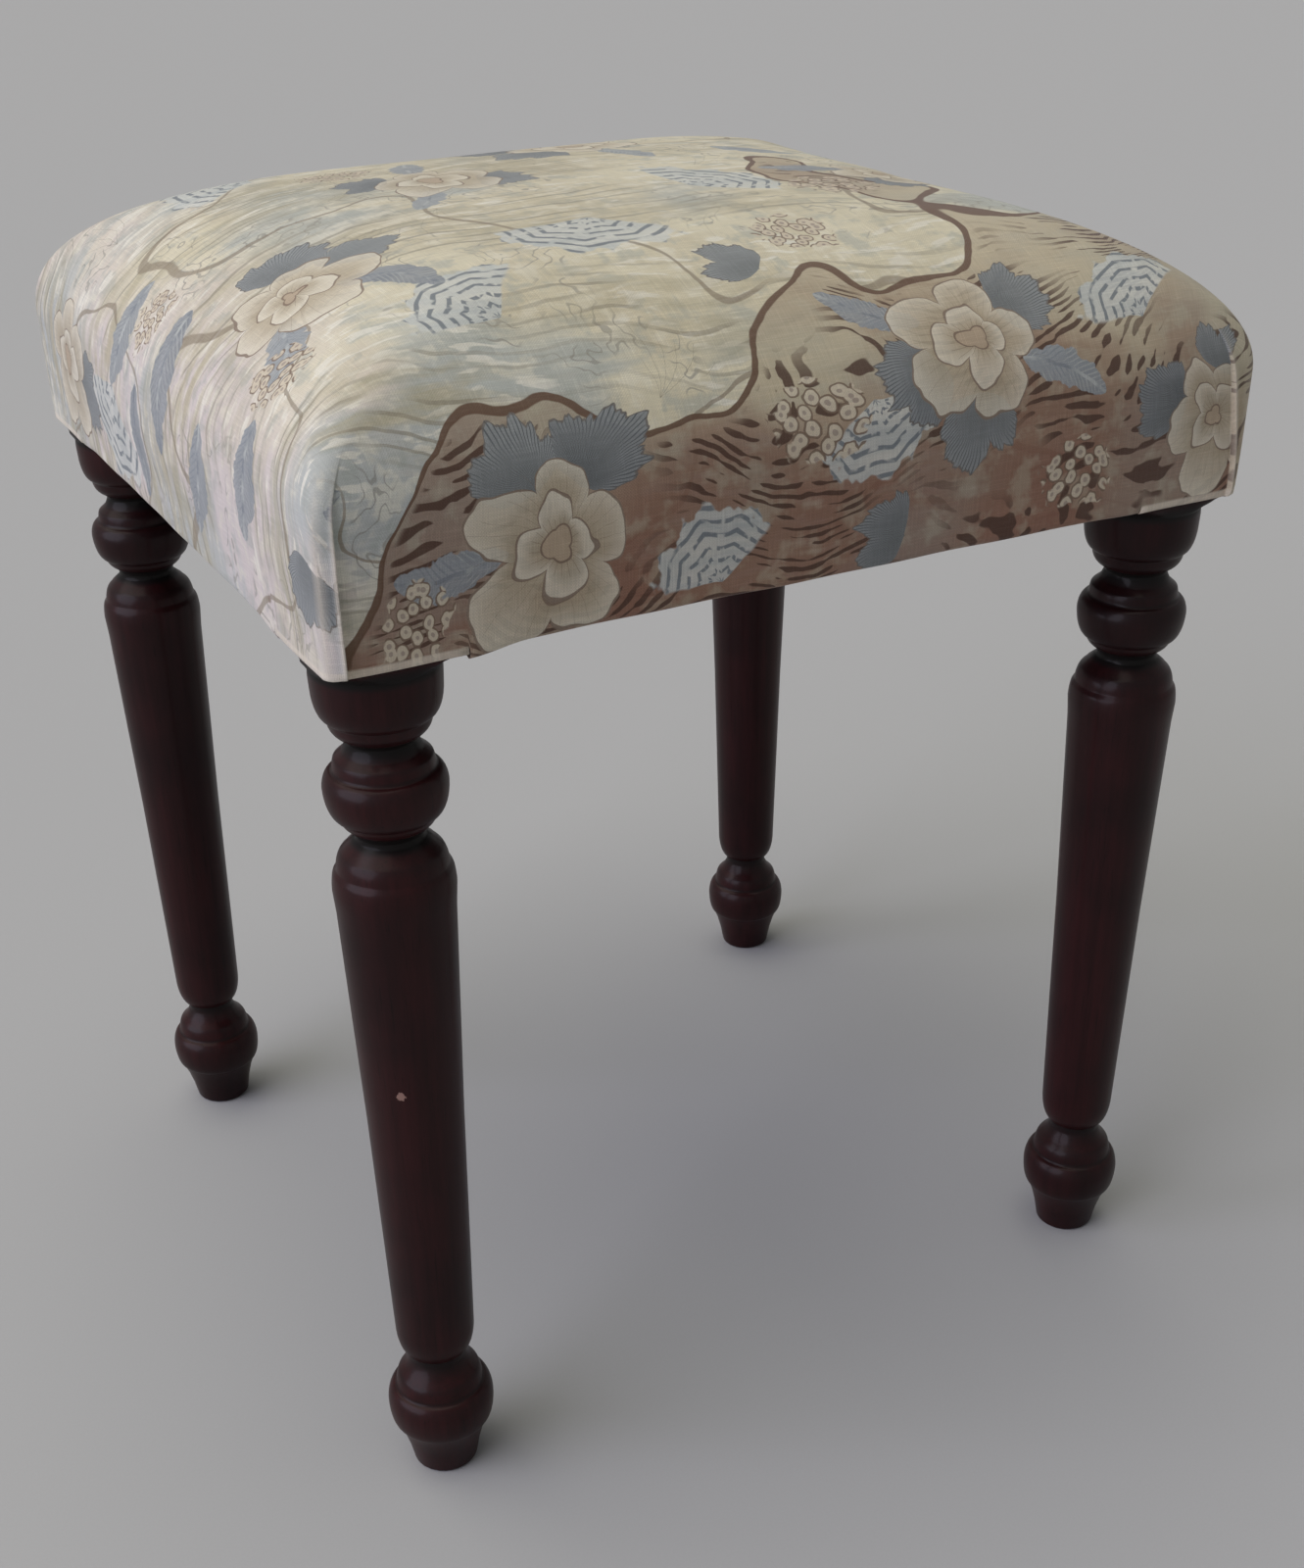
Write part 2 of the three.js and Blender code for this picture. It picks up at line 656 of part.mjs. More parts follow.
function padding() {
  const halfX = POST_OUT_X - WEB_INSET;
  const halfY = POST_OUT_Y - WEB_INSET;
  const hessianTop = HESSIAN_BOTTOM + HESSIAN_THICKNESS;
  const hessian = block(2 * halfX, 2 * halfY, HESSIAN_BOTTOM, hessianTop);
  const waddingOffset = FABRIC_THICKNESS + GAP;
  const foamOffset = waddingOffset + WADDING_THICKNESS + GAP;
  const wadding = padShell(waddingOffset, WADDING_THICKNESS, FRAME_TOP + GAP);
  return group(
    piece('hessian', hessian, materials.hessian),
    piece('seat_foam', padBlock(foamOffset, FOAM_BOTTOM), materials.foam),
    piece('seat_wadding', wadding, materials.wadding),
  );
}

// The cover: a boxed shell whose hem turns in under each rail, between the posts
function seatCover() {
  const shell = solidOf(padShell(0, FABRIC_THICKNESS, HEM_HEIGHT));
  const flapTop = HEM_HEIGHT + FABRIC_THICKNESS;
  const flapWidth = HEM_TURN - FABRIC_THICKNESS / 2;
  const flapLineX = HEM_OUT_X - (HEM_TURN + FABRIC_THICKNESS / 2) / 2;
  const flapLineY = HEM_OUT_Y - (HEM_TURN + FABRIC_THICKNESS / 2) / 2;
  const flaps = [-1, 1].flatMap((sign) => [
    block(RAIL_LENGTH_X, flapWidth, HEM_HEIGHT, flapTop).translate(0, sign * flapLineY, 0),
    block(flapWidth, RAIL_LENGTH_Y, HEM_HEIGHT, flapTop).translate(sign * flapLineX, 0, 0),
  ]);
  const cover = joined([shell, ...flaps.map(solidOf)]).subtract(tackHoles);
  return piece('seat_cover', geometryOf(cover), materials.printedCloth);
}

// The dust cover, notched round the posts
function dustCover() {
  const outX = HEM_OUT_X - DUST_COVER_INSET;
  const outY = HEM_OUT_Y - DUST_COVER_INSET;
  const notchX = (LEG_SPACING_X - POST_SIDE) / 2 - DUST_COVER_CLEARANCE;
  const notchY = (LEG_SPACING_Y - POST_SIDE) / 2 - DUST_COVER_CLEARANCE;
  const outline = [
    [outX, notchY], [notchX, notchY], [notchX, outY], [-notchX, outY], [-notchX, notchY],
    [-outX, notchY], [-outX, -notchY], [-notchX, -notchY], [-notchX, -outY], [notchX, -outY],
    [notchX, -notchY], [outX, -notchY],
  ];
  const sheet = raised(outline, DUST_COVER_TOP - DUST_COVER_THICKNESS, DUST_COVER_TOP);
  return piece('dust_cover', geometryOf(solidOf(sheet).subtract(tackHoles)), materials.blackCloth);
}

const dowelShape = turned(dowelOutline(0), ROUND_SIDES);
const screwShape = turned(screwOutline(), ROUND_SIDES);
const tackShape = turned(tackOutline(), ROUND_SIDES);

const frame = group(legs(), rails(), braces());
frame.add(...fasteners(dowels, dowelShape, materials.dowelWood));
frame.add(...fasteners(screws, screwShape, materials.steel));

const seat = group(webbing(), padding(), seatCover());

const underside = group(dustCover());
underside.add(...fasteners(tacks, tackShape, materials.bluedSteel));

const stool = group(frame, seat, underside);

export default stool;
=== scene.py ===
# %% [markdown]
# # Dressing a square upholstered stool
#
# The stool is already built: turned legs, dowelled rails, webbing, padding and a cover are
# packed as plain solids at their real size. This lesson gives them their looks in Blender.
# Everything is in metres, with +Z up, the front at -Y and the floor at zero.
#
# The solids could be kept and only painted, and the rails inside are. The turned legs and all
# that is soft are made again here with finer shapes, because their roundness and folds show.

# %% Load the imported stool
import bpy
import math
from functools import partial
import numpy as np
from mathutils import Matrix, Vector
from mathutils.kdtree import KDTree


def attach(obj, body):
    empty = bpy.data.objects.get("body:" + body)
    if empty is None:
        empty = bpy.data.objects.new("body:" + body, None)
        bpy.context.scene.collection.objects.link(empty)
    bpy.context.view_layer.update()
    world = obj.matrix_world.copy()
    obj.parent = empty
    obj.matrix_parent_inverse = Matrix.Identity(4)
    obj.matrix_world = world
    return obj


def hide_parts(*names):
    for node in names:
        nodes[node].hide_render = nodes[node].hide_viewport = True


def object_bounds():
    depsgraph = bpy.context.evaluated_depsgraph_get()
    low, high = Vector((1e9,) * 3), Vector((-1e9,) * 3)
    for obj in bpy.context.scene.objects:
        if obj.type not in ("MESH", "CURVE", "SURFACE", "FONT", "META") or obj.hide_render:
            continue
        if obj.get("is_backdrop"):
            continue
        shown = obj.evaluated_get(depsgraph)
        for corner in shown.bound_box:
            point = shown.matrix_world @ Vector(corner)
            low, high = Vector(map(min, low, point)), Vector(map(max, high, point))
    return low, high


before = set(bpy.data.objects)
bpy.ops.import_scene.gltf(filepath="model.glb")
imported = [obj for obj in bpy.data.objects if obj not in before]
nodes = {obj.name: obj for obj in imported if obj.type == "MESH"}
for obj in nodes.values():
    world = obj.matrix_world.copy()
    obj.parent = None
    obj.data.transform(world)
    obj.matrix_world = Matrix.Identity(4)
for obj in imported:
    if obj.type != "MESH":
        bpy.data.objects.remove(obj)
cad_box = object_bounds()
scene = bpy.context.scene
print(len(nodes), "packed pieces in the box", [[round(v, 4) for v in c] for c in cad_box])

# %% [markdown]
# ## The camera
#
# A photographer stands in front of the stool's near corner, a little above it. The place and
# the angles were worked out from where the hem and the four feet stand in the picture.
# An Empty to track would also aim a camera, but three angles say exactly where it looks.

# %% Place the camera
CAMERA_PLACE = Vector((-0.3894, -0.7820, 0.6433))
CAMERA_YAW = math.radians(27.66)
CAMERA_PITCH = math.radians(30.16)
CAMERA_ROLL = math.radians(-0.98)
FILM_SIDE_MM = 36.0
FOCAL_SHARE = 2029.6 / 1600
SHIFT_SHARE = 150 / 1600


def camera_turn(yaw, pitch, roll):
    """The camera's rotation when it looks yaw to the right of +Y and pitch downwards."""
    forward = Vector((
        math.sin(yaw) * math.cos(pitch), math.cos(yaw) * math.cos(pitch), -math.sin(pitch),
    ))
    level = Vector((math.cos(yaw), -math.sin(yaw), 0))
    up = level.cross(forward)
    right = level * math.cos(roll) + up * math.sin(roll)
    top = up * math.cos(roll) - level * math.sin(roll)
    return Matrix((right, top, -forward)).transposed()


camera_data = bpy.data.cameras.new("portrait_camera")
camera_data.sensor_width = FILM_SIDE_MM
camera_data.lens = FOCAL_SHARE * FILM_SIDE_MM
camera_data.shift_y = SHIFT_SHARE
camera = bpy.data.objects.new("portrait_camera", camera_data)
turn = camera_turn(CAMERA_YAW, CAMERA_PITCH, CAMERA_ROLL)
camera.matrix_world = Matrix.LocRotScale(CAMERA_PLACE, turn.to_quaternion(), None)
scene.collection.objects.link(camera)
scene.camera = camera
print("camera with a", round(camera_data.lens, 1), "mm lens at", CAMERA_PLACE.to_tuple(4))

# %% [markdown]
# ## Writing shader formulas as sums
#
# A pattern such as a weave or a leaf is a formula of where a point lies on the cloth. Each plus
# or sine is one Math node. Placing them by hand would hide the formula, so a small class lets
# a node's output be added and multiplied like a number, and another paints coat over coat.

# %% Fields: node outputs that can be calculated with
def feed(socket, value):
    """Links a field into a socket, or sets the socket to a plain value."""
    if isinstance(value, Field):
        socket.id_data.links.new(value.socket, socket)
    else:
        socket.default_value = value


def tree_of(*values):
    return next(value.socket.id_data for value in values if isinstance(value, Field))


def added(kind, inputs, output=0, **settings):
    """Adds a node where the fields it is fed with are, and returns one of its outputs."""
    node = tree_of(*inputs.values()).nodes.new(f"ShaderNode{kind}")
    for label, value in settings.items():
        setattr(node, label, value)
    for place, value in inputs.items():
        feed(node.inputs[place], value)
    return Field(node.outputs[output])


def calc(operation, *values):
    return added("Math", dict(enumerate(values)), operation=operation)


def vector_calc(operation, *values, output=0):
    return added("VectorMath", dict(enumerate(values)), output, operation=operation)


class Field:
    """A node's output. The usual operators add the Math node that does the sum."""

    def __init__(self, socket):
        self.socket = socket

    def __add__(self, other):
        return calc("ADD", self, other)

    def __sub__(self, other):
        return calc("SUBTRACT", self, other)

    def __rsub__(self, other):
        return calc("SUBTRACT", other, self)

    def __mul__(self, other):
        return calc("MULTIPLY", self, other)

    def __truediv__(self, other):
        return calc("DIVIDE", self, other)

    def __pow__(self, other):
        return calc("POWER", self, other)

    def __abs__(self):
        return calc("ABSOLUTE", self)

    __radd__ = __add__
    __rmul__ = __mul__


print("fields ready: each sum is one node")

# %% Steps, vectors and noises
def step_up(value, low, high):
    """Zero below low, one above high, and a soft step between."""
    return added("MapRange", {0: value, 1: low, 2: high}, interpolation_type="SMOOTHSTEP")


def below(value, edge, softness):
    """One where a value lies under an edge."""
    return 1 - step_up(value, edge, edge + softness)


def either(first, second):
    return calc("MAXIMUM", first, second)


def fraction(value):
    return calc("FRACT", value)


def split(vector):
    """The X, Y and Z of a vector."""
    node = tree_of(vector).nodes.new("ShaderNodeSeparateXYZ")
    feed(node.inputs[0], vector)
    return [Field(socket) for socket in node.outputs]


def join(x, y, z=0.0):
    return added("CombineXYZ", {0: x, 1: y, 2: z})


def noise(vector, scale, detail=2.0, roughness=0.5, flat=False, output=0):
    inputs = {"Vector": vector, "Scale": scale, "Detail": detail, "Roughness": roughness}
    return added("TexNoise", inputs, output, noise_dimensions="2D" if flat else "3D")


print("steps, vectors and noises ready")

# %% Colours and coats
def paint(code):
    """A colour for a socket, from its usual six-figure code."""
    parts = [int(code[i:i + 2], 16) / 255 for i in (0, 2, 4)]
    linear = [p / 12.92 if p <= 0.04045 else ((p + 0.055) / 1.055) ** 2.4 for p in parts]
    return (*linear, 1.0)


def blend(share, first, second, kind="MIX"):
    """A mix of two colours, each a field or a six-figure code."""
    first, second = (paint(c) if isinstance(c, str) else c for c in (first, second))
    return added("Mix", {0: share, 6: first, 7: second}, 2, data_type="RGBA", blend_type=kind)


class Coats:
    """A colour painted in coats. Each covers a share of what lies under it."""

    def __init__(self, colour):
        self.colour = colour

    def add(self, share, over):
        self.colour = blend(share, self.colour, over)
        return self


print("a grey of 808080 sends back", round(paint("808080")[0], 3), "of the light")

# %% Groups: effects that materials share
SOCKETS = {"value": "NodeSocketFloat", "vector": "NodeSocketVector"}


class Effect:
    """A shader node group with named inputs and outputs, built once and placed many times."""

    def __init__(self, name, inputs, outputs):
        self.tree = bpy.data.node_groups.new(name, "ShaderNodeTree")
        for label, (kind, value) in inputs.items():
            socket = self.tree.interface.new_socket(
                label, in_out="INPUT", socket_type=SOCKETS[kind])
            if value is not None:
                socket.default_value = value
        for label, kind in outputs.items():
            self.tree.interface.new_socket(label, in_out="OUTPUT", socket_type=SOCKETS[kind])
        self.start = self.tree.nodes.new("NodeGroupInput")
        self.end = self.tree.nodes.new("NodeGroupOutput")

    def input(self, label):
        return Field(self.start.outputs[label])

    def output(self, **results):
        for label, value in results.items():
            feed(self.end.inputs[label], value)

    def place(self, **values):
        """Places the group beside its first field and returns its outputs by name."""
        node = tree_of(*values.values()).nodes.new("ShaderNodeGroup")
        node.node_tree = self.tree
        for label, value in values.items():
            feed(node.inputs[label], value)
        return {socket.name: Field(socket) for socket in node.outputs}


class Finish:
    """A material with one Principled BSDF, and the coordinates to paint it by."""

    def __init__(self, name, **constants):
        self.material = bpy.data.materials.new(name)
        self.material.use_nodes = True
        self.tree = self.material.node_tree
        self.shader = self.tree.nodes["Principled BSDF"]
        for label, value in constants.items():
            self.shader.inputs[label.replace("_", " ")].default_value = value

    def at(self):
        """Where a point lies on the object, in metres."""
        return Field(self.tree.nodes.new("ShaderNodeTexCoord").outputs["Object"])

    def attribute(self, name, output="Fac"):
        node = self.tree.nodes.new("ShaderNodeAttribute")
        node.attribute_name = name
        return Field(node.outputs[output])

    def set(self, label, value):
        feed(self.shader.inputs[label], value)

    def relief(self, height, depth, strength=1.0):
        """Bumps as high as depth, in metres, where height goes from 0 to 1."""
        bumps = {"Strength": strength, "Distance": depth, "Height": height}
        self.set("Normal", added("Bump", bumps, "Normal"))


def tell(what, *made):
    """Prints how many nodes these effects or finishes have."""
    print(f"{what}:", [len(m.tree.nodes) for m in made], "nodes")


print("helpers ready:", ", ".join(SOCKETS), "sockets")

# %% [markdown]
# ## Light and floor
#
# The photograph has a plain grey ground and cool daylight from a window at the left, while a
# warmer light comes from above. A ring of area lamps would make pools of light on the floor. Two
# suns with wide discs, as a large window and a bright ceiling far away, keep the floor even and
# still give soft shadows and soft highlights. The ceiling's light falls a little from behind, so
# the front of the seat stays darker than its top, as in the picture.

# %% Set the lights
LAMPS = {
    "window": ((-0.93, -0.04, 0.36), 1.9, (0.91, 0.89, 1.08), math.radians(58)),
    "ceiling": ((-0.22, 0.20, 0.95), 1.55, (1.0, 0.97, 0.84), math.radians(72)),
}

for name, (direction, strength, colour, angle) in LAMPS.items():
    lamp = bpy.data.lights.new(name, "SUN")
    lamp.energy = strength
    lamp.color = colour
    lamp.angle = angle
    holder = bpy.data.objects.new(name, lamp)
    holder.rotation_euler = Vector(direction).to_track_quat("Z", "Y").to_euler()
    scene.collection.objects.link(holder)
print(len(LAMPS), "suns:", ", ".join(LAMPS))

# %% Set the sky
SKY_STRENGTH = 0.185
GROUND_GREY = 0.385

sky = bpy.data.worlds.new("grey_room")
scene.world = sky
sky.use_nodes = True
background = sky.node_tree.nodes["Background"]
rays = sky.node_tree.nodes.new("ShaderNodeLightPath")
seen = Field(rays.outputs["Is Camera Ray"])
mirrored = Field(rays.outputs["Is Glossy Ray"])
through = Field(rays.outputs["Is Transmission Ray"])
shown = either(either(seen, mirrored), through)
background.inputs["Color"].default_value = (1.0, 1.0, 1.0, 1.0)
feed(background.inputs["Strength"], SKY_STRENGTH + shown * (GROUND_GREY - SKY_STRENGTH))
scene.view_settings.view_transform = "Standard"
print("a sky that shines at", SKY_STRENGTH, "and is seen at", GROUND_GREY)

# %% Lay the floor
FLOOR_COLOURS = ("b8b9bb", "b3b4b6")
FLOOR_SIDE = 60.0

floor_paint = Finish("grey_floor", Roughness=0.9, Specular_IOR_Level=0.0)
speckle = noise(floor_paint.at(), 900.0)
floor_paint.set("Base Color", blend(speckle, *FLOOR_COLOURS))
see_through = floor_paint.tree.nodes.new("ShaderNodeBsdfTransparent")
facing = floor_paint.tree.nodes.new("ShaderNodeNewGeometry")
sides = (facing.outputs["Backfacing"], floor_paint.shader.outputs[0], see_through.outputs[0])
two_sided = added("MixShader", dict(enumerate(map(Field, sides))))
feed(floor_paint.tree.nodes["Material Output"].inputs["Surface"], two_sided)

floor_mesh = bpy.data.meshes.new("floor")
reach = FLOOR_SIDE / 2
floor_mesh.from_pydata(
    [(-reach, -reach, 0), (reach, -reach, 0), (reach, reach, 0), (-reach, reach, 0)],
    [], [(0, 1, 2, 3)])
floor_mesh.materials.append(floor_paint.material)
floor = bpy.data.objects.new("floor", floor_mesh)
scene.collection.objects.link(floor)
floor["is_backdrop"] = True
print("a floor", FLOOR_SIDE, "m wide")

# %% [markdown]
# ## Making pieces
#
# Every piece below is a list of points and a list of faces. These helpers turn them into an
# object and say what it is: which body carries it and which imported pieces it stands for.

# %% Helpers for pieces
MM = 0.001
EDGE_ANGLE = math.radians(40)


def piece(name, points, faces, material, edged=False):
    """An object of these points and faces, shaded smooth, or edged with crisp edges."""
    mesh = bpy.data.meshes.new(name)
    mesh.from_pydata([tuple(p) for p in points], [], faces)
    mesh.materials.append(material)
    mesh.polygons.foreach_set("use_smooth", [True] * len(mesh.polygons))
    if edged:
        mesh.set_sharp_from_angle(angle=EDGE_ANGLE)
    made = bpy.data.objects.new(name, mesh)
    scene.collection.objects.link(made)
    return made


def stands_for(made, slot, *packed):
    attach(made, "root")
    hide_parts(*packed)


def mark(made, name, values):
    """Stores one number for each point of a piece, for its material to read."""
    layer = made.data.attributes.new(name, "FLOAT", "POINT")
    layer.data.foreach_set("value", np.asarray(values, dtype=np.float32))


def thicken(made, thickness):
    """Gives a cloth its thickness, inwards from its outer face."""
    solid = made.modifiers.new("thickness", "SOLIDIFY")
    solid.thickness = thickness
    solid.offset = -1


def size_of(made):
    span = (np.ptp(made.bound_box, axis=0) / MM).round(1).tolist()
    return f"{made.name}: {len(made.data.polygons)} faces, {span} mm"


print("edged pieces are crisp where they turn by", round(math.degrees(EDGE_ANGLE)), "degrees")

# %% [markdown]
# ## Dark stained hardwood
#
# The legs are turned in a plain hardwood, stained almost black with a red undertone, and waxed
# to a satin gloss. Grain runs along the leg, so the noise is stretched along Z. The high
# ridges of the beads are rubbed a little brighter and smoother. The narrow coves are painted
# darker: partly dust and old polish, partly painted shade in the hollows. The point attribute
# "crest" says which is which: it comes with the leg's mesh.
# One small nick in the near leg shows pale wood. Painting an image of the leg would do it all
# too, but noise needs no unwrapping and its grain runs on round the leg without a seam.

# %% The grain effect and the leg's finish
grain = Effect(
    "wood grain",
    {"Place": ("vector", None), "Along": ("value", 6.0), "Across": ("value", 160.0)},
    {"Figure": "value", "Pores": "value"},
)
across_x, across_y, along_z = split(grain.input("Place"))
coarse = join(
    across_x * grain.input("Across"), across_y * grain.input("Across"),
    along_z * grain.input("Along"))
figure = noise(coarse, 1.0, 5.0, 0.6)
finer = vector_calc("MULTIPLY", coarse, (5.5, 5.5, 3.0))
pores = noise(finer, 1.0, 3.0, 0.7)
grain.output(Figure=figure, Pores=step_up(pores, 0.55, 0.75))

NICK_PLACE = (-0.1828, -0.1775, 0.2050)
NICK_SIZE = 1.6 * MM

dark_wood = Finish(
    "dark_stained_wood", Coat_Weight=0.22, Coat_Roughness=0.2, Coat_IOR=1.4,
    Specular_IOR_Level=0.1)
place = dark_wood.at()
wood = grain.place(Place=place, Along=9.0, Across=210.0)
crest = dark_wood.attribute("crest")
rub = noise(place, 45.0, 3.0, 0.6)
ridge = step_up(crest + (rub - 0.5) * 0.5, 0.45, 1.0)
# Coves are painted darker: partly dust and old polish, partly painted shade in the hollows.
cove_dust_and_shade = step_up((rub - 0.5) * 0.4 - crest, 0.12, 0.7)
patches = noise(place, 13.0, 3.0, 0.6)
stain = Coats("120707").add(wood["Figure"], "391618")
stain.add(step_up(patches, 0.4, 0.7) * 0.6, "120809")
stain.add(wood["Pores"] * 0.6, "0a0504")
turnings = step_up(abs(crest), 0.1, 0.5)
stain.add(turnings * 0.6, "181213")
stain.add(ridge * 0.35, "3d2c30")
stain.add(cove_dust_and_shade * 0.8, "0a0c0a")
nick_distance = vector_calc("DISTANCE", place, NICK_PLACE, output=1)
nick_edge = nick_distance + (noise(place, 900.0) - 0.5) * (2 * NICK_SIZE)
nick = below(nick_edge, NICK_SIZE, NICK_SIZE / 4)
stain.add(nick * 0.8, "9a7a70")
dark_wood.set("Base Color", stain.colour)
dark_wood.set("Roughness", 0.36 + wood["Figure"] * 0.1 + cove_dust_and_shade * 0.25 + rub * 0.08 - ridge * 0.06)
lathe_marks = noise(join(0.0, 0.0, split(place)[2]), 1400.0, 2.0, 0.6)
dark_wood.relief(
    wood["Figure"] * 0.35 + lathe_marks * 0.2 + rub * 0.5 - wood["Pores"] * 0.25 - nick, 0.12 * MM)
tell("dark wood", dark_wood)

# %% [markdown]
# ## The turned legs
#
# A turner works from one outline: foot, shaft, bead and cup, with a square post left on top for
# the rails. The outline is kept as shares of each section, with the bend of every curve, and is
# spun round the leg's axis. A Screw modifier on a curve would spin it too, but the post is
# square: here each ring takes whichever is nearer the axis, the turned outline or the square.

# %% The leg's sections
HEM_HEIGHT = 384 * MM
FRAME_TOP = 435.8 * MM
SHOULDER = HEM_HEIGHT - 7 * MM
SHOULDER_HEIGHT = 7 * MM
SHOULDER_BEND = -0.4
POST_SIDE = 50 * MM
POST_EDGE_RADIUS = 3 * MM
SECTIONS = (
    (58 * MM, 22.8 * MM, (
        (0.022, 0.61, 0), (0.41, 0.885, -0.34), (0.6, 1, 1), (0.745, 0.85, 0.9),
        (0.757, 0.82, 0), (0.87, 0.745, 0.6), (0.9, 0.66, 0), (1, 0.51, -0.3),
    )),
    (SHOULDER - (58 + 37.5 + 29.3) * MM, 23.3 * MM, (
        (0.015, 0.5, 0), (0.072, 0.717, 1), (0.5, 0.833, 0), (0.875, 0.97, 0), (0.912, 1, 0),
        (0.94, 0.955, 0.7), (0.946, 0.91, 0), (0.974, 0.79, 0.7), (0.98, 0.735, 0),
        (0.993, 0.567, 0), (1, 0.55, 0),
    )),
    (37.5 * MM, 23.1 * MM, (
        (0.067, 0.6, 0), (0.18, 0.785, 0.6), (0.2, 0.8, 0), (0.52, 1, 0.95),
        (0.69, 0.85, 0.9), (0.71, 0.82, 0), (0.82, 0.785, 0.4), (0.89, 0.65, 0),
        (1, 0.57, -0.3),
    )),
    (29.3 * MM, 23.9 * MM, (
        (0.067, 0.6, 0), (0.222, 0.785, 0.6), (0.3, 0.806, 0), (0.323, 0.825, 0),
        (0.7, 0.99, 0.9), (0.89, 1, 0), (1, 0.99, 0),
    )),
)
print(len(SECTIONS), "turned sections below a post that starts", round(SHOULDER / MM, 1), "mm up")

# %% The leg's outline
FOOT_START_SHARE = 0.56
CURVE_STEPS = 9
EASING = 0.45 * MM
EASING_SHARE = 0.4
SHARP_TURN = math.radians(16)


def curve(start, end, bend):
    """Points from one outline point to the next: 1 swells outwards, -1 hollows, 0 is straight."""
    (height, radius), (next_height, next_radius) = start, end
    swells = (bend > 0) == (next_radius > radius)
    steps = max(1, round(abs(bend) * CURVE_STEPS))
    for step in range(1, steps + 1):
        share = step / steps
        angle = share * math.pi / 2
        round_up = 1 - math.cos(angle) if swells else math.sin(angle)
        round_out = math.sin(angle) if swells else 1 - math.cos(angle)
        up = share + (round_up - share) * abs(bend)
        out = share + (round_out - share) * abs(bend)
        yield (height + (next_height - height) * up, radius + (next_radius - radius) * out)


def leg_outline():
    outline = [(0.0, 0.0), (0.0, FOOT_START_SHARE * SECTIONS[0][1])]
    bottom = 0.0
    for height, radius, shares in SECTIONS:
        for height_share, radius_share, bend in shares:
            end = (bottom + height_share * height, radius_share * radius)
            outline.extend(curve(outline[-1], end, bend))
        bottom += height
    post_corner = POST_SIDE * math.sqrt(0.5)
    outline.extend(curve(outline[-1], (SHOULDER + SHOULDER_HEIGHT, post_corner), SHOULDER_BEND))
    return outline + [(FRAME_TOP, post_corner), (FRAME_TOP, 0.0)]


def eased(outline):
    """The outline with every sharp turn cut back a little, as sanding does."""
    points = [Vector(p) for p in outline]
    made = [points[0]]
    for before, here, after in zip(points, points[1:], points[2:]):
        back, ahead = before - here, after - here
        if (-back).angle(ahead) < SHARP_TURN:
            made.append(here)
            continue
        cuts = [here + way.normalized() * min(EASING, way.length * EASING_SHARE)
                for way in (back, ahead)]
        middle = (cuts[0] + cuts[1] + here * 2) / 4
        made += [cuts[0], middle, cuts[1]]
    return np.array([tuple(p) for p in made + [points[-1]]])


outline = eased(leg_outline())
print(len(outline), "points from the floor to", round(outline[-1][0] * 1000, 1), "mm")

# %% Rings of the leg, round below and square above
RING_POINTS = 72
CORNER_POINTS = 6
CORNER_HALF_WIDTH = math.radians(5)
CLOSEST_ANGLES = 0.004
LONGEST_STEP = 9 * MM
CREST_STEP = 0.5 * MM
CREST_REACH = 18
CREST_HEIGHT = 2.4 * MM


def ring_angles():
    """Even steps round the leg, with closer ones at the four corners of the post."""
    even = [i * 2 * math.pi / RING_POINTS for i in range(RING_POINTS)]
    close = [
        math.radians(45 + 90 * corner) + CORNER_HALF_WIDTH * (2 * i / CORNER_POINTS - 1)
        for corner in range(4) for i in range(CORNER_POINTS + 1)
    ]
    angles = sorted({round(a, 4) for a in even + close})
    following = angles[1:] + [angles[0] + 2 * math.pi]
    return np.array([a for a, b in zip(angles, following) if b - a > CLOSEST_ANGLES])


def square_reach(angles):
    """How far a rounded square post reaches from its axis at each angle."""
    across = np.abs(np.cos(angles))
    along = np.abs(np.sin(angles))
    flat = POST_SIDE / 2 / np.maximum(across, along)
    inner = POST_SIDE / 2 - POST_EDGE_RADIUS
    sums = inner * (across + along)
    rounded = sums + np.sqrt(np.maximum(sums ** 2 - 2 * inner ** 2 + POST_EDGE_RADIUS ** 2, 0))
    past = flat * np.minimum(across, along) > inner
    return np.where(past, rounded, flat)


def with_long_runs_cut(outline):
    made = [outline[0]]
    for start, end in zip(outline, outline[1:]):
        parts = max(1, math.ceil(abs(end[0] - start[0]) / LONGEST_STEP))
        made += [start + (end - start) * i / parts for i in range(1, parts + 1)]
    return np.array(made)


def crest_of(outline):
    """How far each outline point stands proud of the outline round it, from about -1 to 1."""
    heights = np.arange(0, FRAME_TOP, CREST_STEP)
    radii = np.interp(heights, outline[1:-1, 0], outline[1:-1, 1])
    window = np.hanning(2 * CREST_REACH + 1)
    padded = np.pad(radii, CREST_REACH, mode="edge")
    evened = np.convolve(padded, window / window.sum(), mode="valid")
    proud = (radii - evened) / CREST_HEIGHT
    return np.interp(outline[:, 0], heights, np.clip(proud, -1, 1))


angles = ring_angles()
reaches = square_reach(angles)
rings = with_long_runs_cut(outline)[1:-1]
crests = crest_of(np.vstack([[0, 0], rings, [FRAME_TOP, 0]]))[1:-1]
print(len(rings), "rings of", len(angles), "points")

# %% Make the four legs
LEG_OUT = np.array([172, 161.5]) * MM
LEG_CORNERS = {
    "front_left": (-1, -1), "front_right": (1, -1), "back_right": (1, 1), "back_left": (-1, 1),
}


